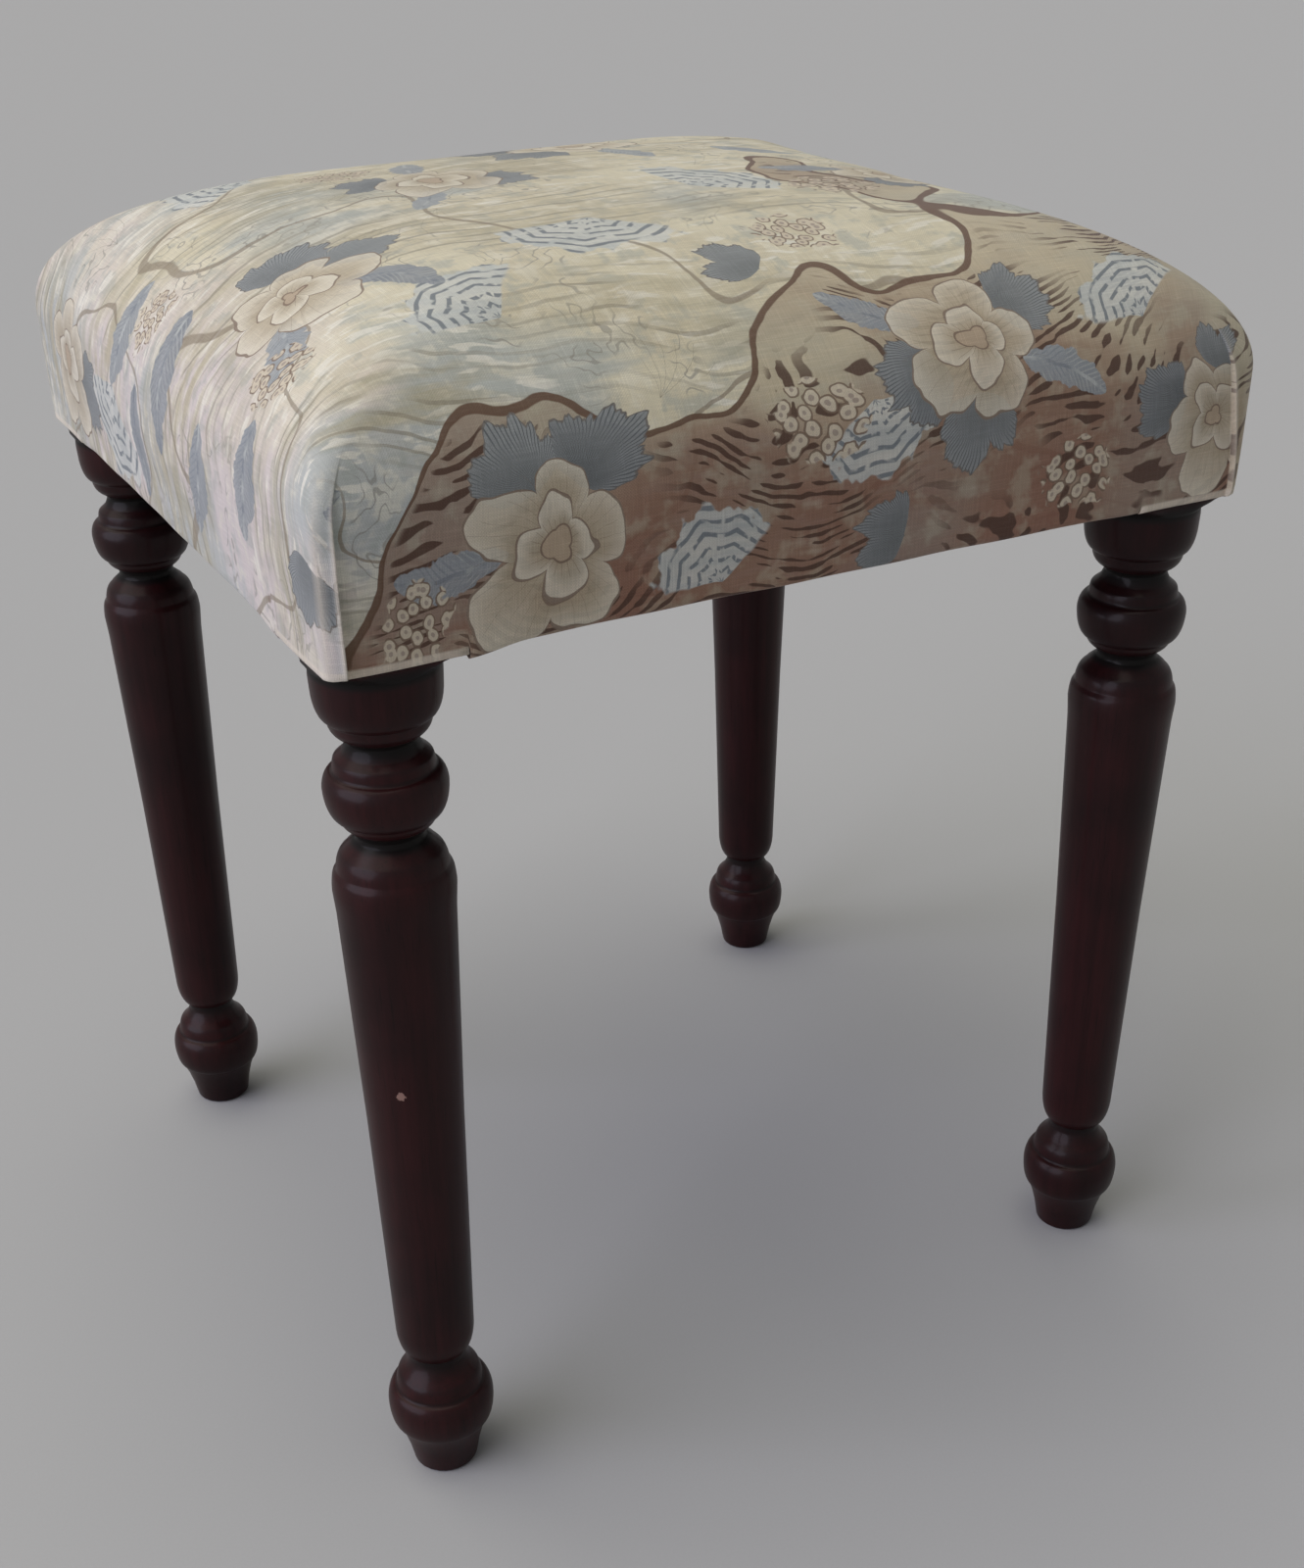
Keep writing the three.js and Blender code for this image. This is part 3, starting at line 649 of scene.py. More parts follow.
def leg_mesh():
    """Points and faces of one leg about its own axis, closed at both ends."""
    count = len(angles)
    points = []
    for height, radius in rings:
        radii = np.minimum(radius, reaches)
        points += zip(radii * np.cos(angles), radii * np.sin(angles), [height] * count)
    faces = [tuple(reversed(range(count)))]
    for ring in range(len(rings) - 1):
        low = ring * count
        for i in range(count):
            j = (i + 1) % count
            faces.append((low + i, low + j, low + count + j, low + count + i))
    top = (len(rings) - 1) * count
    faces.append(tuple(range(top, top + count)))
    return np.array(points), faces


leg_points, leg_faces = leg_mesh()
for quarter_turns, (name, signs) in enumerate(LEG_CORNERS.items()):
    quarter = np.round(np.array(Matrix.Rotation(quarter_turns * math.pi / 2, 3, "Z")), 6)
    foot = (*LEG_OUT * signs, 0)
    leg = piece(f"turned_leg_{name}", leg_points @ quarter.T + foot, leg_faces,
                dark_wood.material, edged=True)
    mark(leg, "crest", np.repeat(crests, len(angles)))
    stands_for(leg, "dark_wood", f"leg_{name}")
print(size_of(leg))

# %% [markdown]
# ## The seat's form
#
# The seat is a pad that is square at its hem, rolls over a deep rounded shoulder and rises to a
# low crown. Between its corners its shoulders are drawn in a little. All its layers, from the
# foam to the cover, share this form, each smaller by its offset.
#
# A subdivided cube could be pushed into shape. A formula is surer here, because the cover needs
# its folds at exact places: a point is named by the side of the seat it is on, its share of the
# way along that side, and its level: 0 at the crown, 1 in the middle of the rounded shoulder, 2
# at the top of the straight side and 3 at the hem.

# %% The form as a formula
HEM_OUT = np.array([198.8, 188.3]) * MM
CORNER_RADIUS = 4.8 * MM
CORNER_SPREAD_SHARE = 0.55
ROUND_START = 434 * MM
ROUND_RISE = 56 * MM
ROUND_DEPTH = 84 * MM
CROWN_RISE = 10 * MM
CROWN_START_SHARE = 0.43
SIDE_BULGE = 1 * MM
SIDE_DRAW = 3 * MM
SEAT_HEIGHT = ROUND_START + ROUND_RISE + CROWN_RISE
CROWN_LEVEL = 0.657
SIDE_LEVEL = 2.0
LEAST_RADIUS = 0.3 * MM
QUARTER = math.pi / 2
OUTWARDS = np.array([[1, 0], [0, 1], [-1, 0], [0, -1]])
ALONG = np.array([[0, 1], [-1, 0], [0, -1], [1, 0]])


def ring_at(level, offset=0.0):
    """Inset, corner radius, draw-in, height and scale of the pad's ring at each level."""
    turn = np.interp(level, [CROWN_LEVEL, 1, SIDE_LEVEL], [QUARTER, QUARTER / 2, 0])
    down = np.clip(level - SIDE_LEVEL, 0, 1)
    inset = (ROUND_DEPTH - offset) * (1 - np.cos(turn))
    radius = max(CORNER_RADIUS - offset, LEAST_RADIUS) + CORNER_SPREAD_SHARE * inset
    height = ROUND_START + (ROUND_RISE - offset) * np.sin(turn) - down * (ROUND_START - HEM_HEIGHT)
    height = height + CROWN_RISE * CROWN_START_SHARE * (1 - np.cos(turn)) ** 2
    scale = np.clip(level / CROWN_LEVEL, 0, 1)
    rim = ROUND_START + ROUND_RISE - offset + CROWN_RISE * CROWN_START_SHARE
    crown = rim + (SEAT_HEIGHT - offset - rim) * (1 - scale ** 2)
    height = np.where(level < CROWN_LEVEL, crown, height)
    bulge = SIDE_BULGE * np.cos(down * QUARTER)
    return inset + offset - bulge, radius, SIDE_DRAW * np.sin(2 * turn), height, scale


def round_rectangle(side, share, half_x, half_y, radius, draw=0.0):
    """Points round a rounded rectangle, and the way out there. share runs from -1 to 1."""
    even = side % 2 == 0
    out, along = np.where(even, half_x, half_y), np.where(even, half_y, half_x)
    straight = along - radius
    distance = share * (straight + radius * QUARTER / 2)
    angle = np.maximum(np.abs(distance) - straight, 0) / radius
    hand = np.sign(distance)
    run = np.where(angle > 0, straight + radius * np.sin(angle), np.abs(distance)) * hand
    drawn = draw * np.maximum(1 - (distance / straight) ** 2, 0)
    rise = out - radius * (1 - np.cos(angle)) - drawn
    place = rise[:, None] * OUTWARDS[side] + run[:, None] * ALONG[side]
    way = np.cos(angle)[:, None] * OUTWARDS[side] + (hand * np.sin(angle))[:, None] * ALONG[side]
    return place, way


def pad_points(side, share, level, offset=0.0):
    inset, radius, draw, height, scale = ring_at(level, offset)
    place, way = round_rectangle(
        side, share, HEM_OUT[0] - inset, HEM_OUT[1] - inset, radius, draw)
    return np.column_stack([place * scale[:, None], height]), way


def half_length(side, level):
    """Half the way along a side, from its middle to the middle of its corner."""
    inset, radius, *_ = ring_at(level)
    return HEM_OUT[1 - side % 2] - inset - radius + radius * QUARTER / 2


print("the crown stands", round(SEAT_HEIGHT / MM, 1), "mm high")

# %% Measure the cloth down the middle of a side
PROFILE_POINTS = 601

middles = np.linspace(0, 3, PROFILE_POINTS)
profiles = []
for side in (0, 1):
    line, _ = pad_points(np.full(PROFILE_POINTS, side), np.zeros(PROFILE_POINTS), middles)
    steps = np.linalg.norm(np.diff(line, axis=0), axis=1)
    profiles.append(np.concatenate([[0], np.cumsum(steps)]))
print("cloth from the crown to the hem:", [round(p[-1] * 1000, 1) for p in profiles], "mm")

# %% A grid that covers the whole pad
def grid_marks(near, side, longest):
    """Grid lines from -1 to 1: some near the corners, given in mm, and even ones between."""
    half = float(half_length(side, np.array([SIDE_LEVEL]))[0])
    near = [d * MM for d in near]
    count = math.ceil((half - near[-1]) / longest)
    distances = near + [near[-1] + (half - near[-1]) * i / count for i in range(1, count + 1)]
    positive = [1 - d / half for d in distances]
    return np.array([-m for m in positive] + positive[-2::-1])


class PadGrid:
    """Points of a pad: a grid over its top, then rows of points round its sides."""

    def __init__(self, near, levels, longest):
        marks_x, marks_y = (grid_marks(near, side, longest) for side in (1, 0))
        self.nx, self.ny = len(marks_x), len(marks_y)
        gx, gy = (m.ravel() for m in np.meshgrid(marks_x, marks_y))
        top_level = np.maximum(np.abs(gx), np.abs(gy))
        on_x = np.abs(gx) > np.abs(gy)
        top_side = np.where(on_x, np.where(gx > 0, 0, 2), np.where(gy > 0, 1, 3))
        near_zero = np.maximum(top_level, 1e-9)
        top_share = np.select(
            [top_side == 0, top_side == 1, top_side == 2], [gy, -gx, -gy], gx) / near_zero
        ring_sides, ring_shares = [], []
        for side, marks in ((3, marks_x), (0, marks_y), (1, marks_x), (2, marks_y)):
            ring_sides += [side] * (len(marks) - 1)
            ring_shares += list(marks[:-1])
        self.around = len(ring_sides)
        rows = len(levels)
        self.side = np.concatenate([top_side, np.tile(ring_sides, rows)]).astype(int)
        self.share = np.concatenate([top_share, np.tile(ring_shares, rows)])
        self.level = np.concatenate([top_level, np.repeat(levels, self.around)])
        self.first_row = self.nx * self.ny
        self.rows = rows

    def border(self):
        """The points round the edge of the top grid, anticlockwise from the front left."""
        nx, ny = self.nx, self.ny
        front = list(range(nx - 1))
        right = [nx - 1 + nx * j for j in range(ny - 1)]
        back = [nx * ny - 1 - i for i in range(nx - 1)]
        left = [nx * (ny - 1) - nx * j for j in range(ny - 1)]
        return front + right + back + left

    def faces(self):
        """Faces of the top, then of the rows, as lists of four points."""
        nx = self.nx
        top = [
            (nx * j + i, nx * j + i + 1, nx * (j + 1) + i + 1, nx * (j + 1) + i)
            for j in range(self.ny - 1) for i in range(nx - 1)
        ]
        upper = self.border()
        bands = []
        for row in range(self.rows):
            start = self.first_row + row * self.around
            lower = list(range(start, start + self.around))
            for i in range(self.around):
                j = (i + 1) % self.around
                bands.append((lower[i], lower[j], upper[j], upper[i]))
            upper = lower
        return top, bands


PLAIN_MARKS = (0, 4, 9, 15)
PLAIN_LEVELS = (1.35, 1.7, 2, 2.35, 2.7, 3)
PLAIN_CELL = 7 * MM
plain_grid = PadGrid(PLAIN_MARKS, PLAIN_LEVELS, PLAIN_CELL)
print("plain grid:", len(plain_grid.side), "points,", plain_grid.around, "round the hem")

# %% [markdown]
# ## Padding, blown up as cloth
#
# Stuffing pushes a cover outwards until its cloth is taut, and the cloth is held at the hem. The
# same happens to a closed copy of the pad, remeshed into even cells and simulated with air
# pressure for twenty frames. How far each point moved outwards is kept as a list, and the real
# cover takes its share of it later. The wadding holds the cover from sinking in, so hardly any
# of what moved inwards is kept. The remesh would rub out pleats and hems, so these come later.
# Moving points by hand in Sculpt Mode is another way, but it would not come out the same twice.

# %% Helpers for the simulation
VOXEL = 6 * MM
PINNED_BELOW = 392 * MM
SIM_FRAMES = 20
STIFFNESS = 80.0
CLOTH_SETTINGS = {
    "use_pressure": True, "uniform_pressure_force": 4.0, "vertex_group_mass": "held",
    "quality": 6, "tension_stiffness": STIFFNESS, "compression_stiffness": STIFFNESS,
    "shear_stiffness": STIFFNESS / 3, "bending_stiffness": 12.0,
}


def remeshed(made):
    """A copy of a piece in even cells, as a new object."""
    remesh = made.modifiers.new("even_cells", "REMESH")
    remesh.mode = "VOXEL"
    remesh.voxel_size = VOXEL
    shape = made.evaluated_get(bpy.context.evaluated_depsgraph_get())
    copy = bpy.data.objects.new("even_pad", bpy.data.meshes.new_from_object(shape))
    scene.collection.objects.link(copy)
    return copy


def coordinates(mesh):
    flat = np.empty(len(mesh.vertices) * 3, dtype=np.float64)
    mesh.vertices.foreach_get("co", flat)
    return flat.reshape(-1, 3)


def outward(mesh):
    flat = np.empty(len(mesh.vertices) * 3, dtype=np.float64)
    mesh.vertex_normals.foreach_get("vector", flat)
    return flat.reshape(-1, 3)


def blown_up(points, faces):
    """Where the points of a closed pad start, and how far outwards pressure moves each one."""
    rough = piece("rough_pad", points, faces, dark_wood.material)
    pad = remeshed(rough)
    start = coordinates(pad.data)
    hem = pad.vertex_groups.new(name="held")
    hem.add([int(i) for i in np.flatnonzero(start[:, 2] < PINNED_BELOW)], 1.0, "REPLACE")
    cloth = pad.modifiers.new("cover", "CLOTH")
    for label, value in CLOTH_SETTINGS.items():
        setattr(cloth.settings, label, value)
    cloth.settings.effector_weights.gravity = 0.0
    cloth.point_cache.frame_start = 1
    cloth.point_cache.frame_end = SIM_FRAMES
    for step in range(1, SIM_FRAMES + 1):
        scene.frame_set(step)
    shape = pad.evaluated_get(bpy.context.evaluated_depsgraph_get())
    moved = ((coordinates(shape.data) - start) * outward(pad.data)).sum(axis=1)
    scene.frame_set(1)
    for used in (pad, rough):
        bpy.data.objects.remove(used)
    return start, moved


print("the pad gets cells of", round(VOXEL / MM, 1), "mm and", SIM_FRAMES, "frames")

# %% Simulate the pad
pad_start, pad_moved = np.zeros((0, 3)), np.zeros(0)
top_faces, side_faces = plain_grid.faces()
last_row = range(len(plain_grid.side) - plain_grid.around, len(plain_grid.side))
closed = top_faces + side_faces + [tuple(reversed(last_row))]
pad_start, pad_moved = blown_up(
    pad_points(plain_grid.side, plain_grid.share, plain_grid.level)[0], closed)
print(len(pad_start), "points swell by", (pad_moved.mean() * 1000).round(1), "mm on average,",
      (pad_moved.max() * 1000).round(1), "mm at most and",
      (pad_moved.min() * 1000).round(1), "mm at least")

# %% Spread the swelling over other points
NEIGHBOURS = 6
SWELL_CAP = 2.4 * MM
SINK_CAP = 0.5 * MM
USUAL_SWELL = 0.7 * MM


def swollen(points):
    """How far each of these points stands out with the blown-up pad, within the caps."""
    if not len(pad_start):
        return np.zeros(len(points))
    tree = KDTree(len(pad_start))
    for i, place in enumerate(pad_start):
        tree.insert(place, i)
    tree.balance()
    swell = np.zeros(len(points))
    for i, place in enumerate(points):
        found = tree.find_n(place, NEIGHBOURS)
        weights = np.array([1 / (near + VOXEL / 4) for _, _, near in found])
        swell[i] = weights @ pad_moved[[index for _, index, _ in found]] / weights.sum()
    return np.clip(swell - USUAL_SWELL, -SINK_CAP, SWELL_CAP)


print("each point takes the swelling of", NEIGHBOURS, "others, between",
      round(-SINK_CAP / MM, 1), "and", round(SWELL_CAP / MM, 1), "mm")

# %% [markdown]
# ## The cover's folds
#
# At each corner the cloth of the side comes round to the front or back face and ends there in a
# folded ridge, as the corner of a made bed does. Over the legs the hem is folded up inside, and
# its edge shows. Under the rails it is turned under, rolls softly, and droops a little beside the
# legs, where it was cut to pass them. So the hem needs a slit at each side of each leg.
#
# A Cloth simulation could fold the corners too, but it would fold each of them in its own way.
# Here the folds stand where they were seen: columns of points lie close together where a fold
# needs them and follow its line. Lengths in the tables below are in millimetres.

# %% Where the folds are
FOLD_MARKS = (0, 0.9, 1.9, 2.9, 3.8, 4.6, 5.4, 5.9, 6.25, 6.45, 6.6, 7.2, 8.2, 10, 12.5, 15.5, 19,
              23, 28, 33, 38, 42.5, 47, 50.9, 51.6, 54.5, 58.5)
RIDGE_MARK = 5.9
GROOVE_MARK = 6.6
SLIT_MARK = 51.25 * MM
HEM_LEVEL = 2.94
FOLD_DISTANCES = {
    (3, -1): (5.6, 6.4), (3, 1): (5.2, 13.5), (1, -1): (6.2, 8.0), (1, 1): (5.4, 10.0),
}
FOLD_TOP = 452 * MM
FOLD_FOOT = 386 * MM
FOLD_SHARE = ((0, 0), (5.4, 1), (6.6, 1), (42, 0))
FOLD_HEIGHT = 2.2 * MM
PLEAT_TOP = 458 * MM
PLEAT_FULL = 426 * MM
PLEAT_LEVELS = 0.5
PLEAT_RISE = (
    (0, 0), (1.9, 0.02), (3.8, 0.3), (4.6, 0.52), (5.4, 0.82), (5.9, 1.0), (6.25, 0.92),
    (6.45, 0.45), (6.6, -0.18), (7.2, -0.2), (8.2, -0.12), (10, -0.04), (12.5, 0),
)
SWELL_FOOT = 390 * MM
SWELL_FULL = 425 * MM
COVER_CELL = 4.6 * MM
print(len(FOLD_MARKS), "columns of points on each side of a corner shape its fold")

# %% Where the hem hangs and how it is turned
DROOPS = {
    (3, -1): 3.0, (3, 1): 1.0, (2, 1): 2.8, (2, -1): 1.5,
    (0, -1): 2.2, (0, 1): 1.8, (1, -1): 2.0, (1, 1): 2.6,
}
DROOP_LENGTH = 24 * MM
DROOP_TOP = 408 * MM
DROOP_LEVEL = 1.5
HEM_WAVES = (5, 13, 31)
HEM_UNEVENNESS = 0.9 * MM
ROLLED_HEM = (
    (0.213, 1.73), (0.82, 0.82), (1.73, 0.213), (2.8, 0.0), (5.2, 0.05), (7.6, 0.2),
    (12.5, 0.4), (18.0, 0.6),
)
ROLL_FLOOR = 384.2 * MM
ROLL_DROOPS = (1.0, 1.0, 1.0, 1.0, 0.7, 0.1, 0.0, 0.0)
FOLDED_HEM = (
    (0.0, 2.0), (0.0, 0.6), (0.15, -0.35), (0.75, -0.7), (1.35, -0.35), (1.5, 0.8), (1.5, 3.5),
    (1.5, 6.5),
)
HEM_ROWS = len(ROLLED_HEM)
PLEATED_HEM_ROWS = 4

side_levels = np.concatenate([
    np.linspace(1, 2, 20)[1:], np.linspace(2, HEM_LEVEL, 16)[1:], [HEM_LEVEL] * HEM_ROWS])
cover_grid = PadGrid(FOLD_MARKS, side_levels, COVER_CELL)
print("cover:", len(cover_grid.side), "points,", cover_grid.around, "round each row")

# %% Helpers for the cover
def smooth(value, low, high):
    """Zero below low, one above high, and a soft step between."""
    share = np.clip((value - low) / (high - low), 0, 1)
    return share * share * (3 - 2 * share)


def sunk(height, top, foot):
    """Zero above the top, one below the foot, and a soft step between."""
    return smooth(-height, -top, -foot)


def read_off(value, table):
    """What a table of pairs gives for a value, on straight lines between the pairs."""
    return np.interp(value, *np.transpose(table))


def per_corner(side, share, table, default):
    """A value for each point from a table by side and end of that side."""
    values = np.full(np.shape(side) + np.shape(default), default, dtype=float)
    for (which, end), value in table.items():
        values[(side == which) & (np.sign(share) == end)] = value
    return values


print("the fold's ridge and groove stand at",
      read_off((RIDGE_MARK, GROOVE_MARK), PLEAT_RISE).round(2), "of its height")

# %% Build the cover's points
class Cover:
    """All that is worked out for each point of the cover."""

    def __init__(self, grid):
        side, share, level = grid.side, grid.share, grid.level
        index = np.arange(len(side))
        row = (index - grid.first_row) // grid.around
        self.hem_row = np.where(index >= grid.first_row, row - (grid.rows - HEM_ROWS), -1)
        half = half_length(side, level)
        distance = (1 - np.abs(share)) * half
        height = ring_at(level)[3]
        self.strength = sunk(height, PLEAT_TOP, PLEAT_FULL)
        low, high = per_corner(side, share, FOLD_DISTANCES, (6.0, 6.0)).T * MM
        fold = high + (low - high) * sunk(height, FOLD_TOP, FOLD_FOOT)
        pleated = np.where(side % 2 == 1, np.clip((level - 1) / PLEAT_LEVELS, 0, 1), 0)
        bend = read_off(distance / MM, FOLD_SHARE) * pleated
        self.distance = distance + (fold - RIDGE_MARK * MM) * bend
        self.share = np.sign(share) * (1 - self.distance / half)
        self.base, self.way = pad_points(side, self.share, level)
        widest = np.full(len(side), SIDE_LEVEL)
        self.mark_distance = (1 - np.abs(share)) * half_length(side, widest)
        self.hand = np.sign(share)
        self.scale = np.maximum(np.clip(level / CROWN_LEVEL, 0, 1), 1e-6)
        self.level, self.side, self.height = level, side, height

    def pleat(self):
        """How far the folded ridge stands out at each point."""
        rise = read_off(self.mark_distance / MM, PLEAT_RISE)
        return np.where(self.side % 2 == 1, rise * self.strength * FOLD_HEIGHT, 0)


cover = Cover(cover_grid)
smooth_form = bpy.data.meshes.new("smooth_form")
smooth_form.from_pydata([tuple(p) for p in cover.base], [], sum(cover_grid.faces(), []))
swell = swollen(cover.base) * smooth(cover.height, SWELL_FOOT, SWELL_FULL)
points = cover.base + outward(smooth_form) * swell[:, None]
bpy.data.meshes.remove(smooth_form)
points[:, :2] += cover.way * cover.pleat()[:, None]
print("the cover swells by", (swell.min() * 1000).round(2), "to",
      (swell.max() * 1000).round(2), "mm")

# %% Turn the hem
def hem_points(cover, points):
    """Puts the rows of the hem in place: folded up over the legs, rolled under the rails."""
    on_post = cover.mark_distance < SLIT_MARK
    outwards = OUTWARDS[cover.side]
    pleat = cover.pleat()
    for k in range(HEM_ROWS):
        post = (cover.hem_row == k) & on_post
        inset, up = (v * MM for v in FOLDED_HEM[k])
        place, way = round_rectangle(
            cover.side[post], cover.share[post], HEM_OUT[0] - inset, HEM_OUT[1] - inset,
            CORNER_RADIUS - inset)
        proud = pleat[post] * (1 - min(k / PLEATED_HEM_ROWS, 1))
        points[post, :2] = place + way * proud[:, None]
        points[post, 2] = HEM_HEIGHT + up
        rail = (cover.hem_row == k) & ~on_post
        inset, up = (v * MM for v in ROLLED_HEM[k])
        points[rail, :2] = cover.base[rail, :2] - outwards[rail] * inset
        points[rail, 2] = ROLL_FLOOR + up
    depth = per_corner(cover.side, cover.hand, DROOPS, 0.0) * MM
    past = np.maximum(cover.mark_distance - SLIT_MARK, 0)
    hang = depth * (1 - smooth(past, 0, DROOP_LENGTH)) * ~on_post
    share = np.select([cover.hem_row == k for k in range(HEM_ROWS)], ROLL_DROOPS,
                      sunk(cover.height, DROOP_TOP, FOLD_FOOT))
    walk = (cover.side * 2 + cover.share) * math.pi / 4
    uneven = sum(np.sin(walk * turns + turns) / len(HEM_WAVES) for turns in HEM_WAVES) - 1
    hang = hang - uneven * HEM_UNEVENNESS / 2
    points[:, 2] -= hang * share * (cover.level >= DROOP_LEVEL)
    return points


points = hem_points(cover, points)
print("cover between", (points.min(axis=0) * 1000).round(1), "and",
      (points.max(axis=0) * 1000).round(1))

# %% Leave slits beside the legs
top_faces, bands = cover_grid.faces()
on_post = cover.mark_distance < SLIT_MARK
faces = top_faces + [
    (a, b, c, d) for a, b, c, d in bands if cover.hem_row[a] < 0 or on_post[a] == on_post[b]
]
print(len(faces), "faces before the cloth has a thickness")

# %% [markdown]
# ## The printed cloth: weave and washes
#
# The cover is a linen union with a drawn print: open flowers with leaves round them, ringed
# stones, seed sprigs, plumes, a stony bank with short brown strokes, water, and pen lines. It is
# this lesson's own drawing, in the colours and at the scale of such cloths. Each kind of motif
# is one node group that draws it about its own middle. An image would be quicker, but a drawing
# made of formulas stays sharp at any distance.
#
# All of them work on the place on the flat cloth, in metres, that the cover's mesh will carry.

# %% Helpers for drawing
flat_noise = partial(noise, flat=True)


def streaks(place, across, along, detail=1.0, roughness=0.5):
    """Flat noise that is drawn out: so many waves in a metre across and along the cloth."""
    return flat_noise(
        vector_calc("MULTIPLY", place, (across, along, 1.0)), 1.0, detail, roughness)


def elsewhere(place, x, y):
    """The place moved, for a noise that must not run along with another of its size."""
    return vector_calc("ADD", place, (x, y, 0.0))


def wobbled(place, size, reach):
    """Moves a place about by up to reach, in waves of this size, as a drawing hand does."""
    shift = vector_calc("SUBTRACT", flat_noise(place, 1 / size, 1.0, output=1), (0.5, 0.5, 0.5))
    return vector_calc("ADD", place, vector_calc("MULTIPLY", shift, (2 * reach, 2 * reach, 0.0)))


def line_at(value, width):
    """One where a value is within width of zero, with a soft edge."""
    return below(abs(value), width, width * 0.6)


def polar(x, y):
    """Distance from the middle, and the angle from the Y axis."""
    return (x * x + y * y) ** 0.5, calc("ARCTAN2", x, y)


def waves(angle, count, shift=0.0):
    """Round lobes: this many bumps from 0 to 1 in a whole turn."""
    return abs(calc("SINE", angle * (count / 2) + shift))


print("drawing helpers ready")

# %% Motifs seen from their own middle
def choose(second_one, first, second):
    """The first vector, or the second where second_one is 1."""
    return added("Mix", {0: second_one, 4: first, 5: second}, 1, data_type="VECTOR")


def seen_from(place, spots):
    """The place as seen from the nearest spot. A spot is its x and y, turn in degrees, size in
    mm and a seed, which comes out as Z and makes each motif a little different."""
    nearest = None
    for x, y, turn_degrees, size, seed in spots:
        turn, size = math.radians(turn_degrees), size * MM
        spot = (x * MM, y * MM, seed / 100)
        sideways = (math.cos(turn) / size, math.sin(turn) / size, 0.0)
        away = vector_calc("DISTANCE", place, (x * MM, y * MM, 0.0), output=1) / size
        if nearest is None:
            nearest, across, shortest = spot, sideways, away
            continue
        closer = calc("LESS_THAN", away, shortest)
        nearest = choose(closer, nearest, spot)
        across = choose(closer, across, sideways)
        shortest = calc("MINIMUM", away, shortest)
    shift = vector_calc("SUBTRACT", place, nearest)
    u = vector_calc("DOT_PRODUCT", shift, across, output=1)
    v = split(vector_calc("CROSS_PRODUCT", across, shift))[2]
    return join(u, v, split(nearest)[2])


def drawing(name, outputs, **extra):
    """A group that draws something about the origin of its Place, and that Place's X, Y, Z."""
    inputs = {"Place": ("vector", None)}
    inputs.update({label: ("value", value) for label, value in extra.items()})
    effect = Effect(name, inputs, {label: "value" for label in outputs})
    return effect, *split(effect.input("Place"))


print("motif helpers ready")

# %% The weave
weave, u, v, _ = drawing("linen weave", ("Height", "Tint"), Pitch=0.55 * MM)
pitch = weave.input("Pitch")
across, along = u / pitch, v / pitch
checks = fraction((calc("FLOOR", across) + calc("FLOOR", along)) * 0.5)
over = step_up(checks, 0.2, 0.3)
thread_up = waves(across, 2 * math.pi)
thread_over = waves(along, 2 * math.pi)
thread = thread_up + over * (thread_over - thread_up)
slub_across = flat_noise(join(u * 1900.0, v * 70.0), 1.0, 1.0)
slub_along = flat_noise(join(u * 70.0, v * 1900.0), 1.0, 1.0)
slubs = step_up(slub_across, 0.55, 0.8) + step_up(slub_along, 0.55, 0.8)
weave.output(
    Height=thread * (0.75 + slubs * 0.5),
    Tint=0.5 + (thread - 0.6) * 0.45 + (slub_across + slub_along - 1) * 0.5 + slubs * 0.2)
tell("weave", weave)

# %% [markdown]
# ## Leaves, flowers, stones, plumes and sprigs
#
# A fan leaf's edge is a distance from the leaf's foot that depends on the angle. A flower is
# three such edges inside each other, a plume is arcs round its foot, and a sprig is rays from
# it. Stones are Voronoi cells. Thin lines are the places where a formula is near zero. Outline,
# fill and shade are outputs of their own, so each keeps its own colour. Curve objects could be
# cut out and laid on the cloth instead, but they would have to follow each of its folds.

# %% Draw a fan leaf, a long leaf and a flower
leaf, x, y, seed = drawing("fan leaf", ("Fill", "Outline", "Rays", "Shade"))
y = y + 0.48
bent = x - y * y * (seed * 12.0)
r, a = polar(bent, y)
spread = calc("MAXIMUM", calc("COSINE", a * 1.12), 0.0)
ragged = flat_noise(join(a * 2.6, seed * 400.0), 1.6, 2.0, 0.6) - 0.5
edge = (0.70 + waves(a, 6.6, 1.0) ** 0.5 * 0.18 + ragged * 0.44) * spread ** 0.36
toward_edge = r / (edge + 0.01)
ray_length = flat_noise(join(a * 14.0, seed * 90.0), 1.0, 1.0)
rays = line_at(calc("SINE", a * 52.0 + r * 4.0), 0.34)
rays = rays * below(toward_edge, 0.5 + ray_length, 0.2)
inside = below(r, edge, 0.02)
leaf.output(
    Fill=inside, Outline=line_at(r - edge, 0.010), Rays=inside * rays,
    Shade=inside * step_up(toward_edge + x * 0.35, 0.15, 1.05))

frond, x, y, seed = drawing("long leaf", ("Fill", "Veins"))
y = y + 0.5
bent = x + calc("SINE", y * 2.6) * (seed * 14.0)
half = calc("MAXIMUM", calc("SINE", y * math.pi), 0.0) ** 0.65 * 0.21
ragged = flat_noise(frond.input("Place"), 7.0, 2.0, 0.6) - 0.5
half = half * (0.78 + waves(y, 30.0) * 0.18 + ragged * 0.7)
half = half * step_up(y, 0.0, 0.02) * below(y, 0.98, 0.02)
inside = below(abs(bent), half - 0.016, 0.016)
slanted = y * 17.0 - abs(bent) * 16.0
frond.output(
    Fill=inside,
    Veins=inside * either(line_at(bent, 0.014), line_at(fraction(slanted) - 0.5, 0.12) * 0.6))

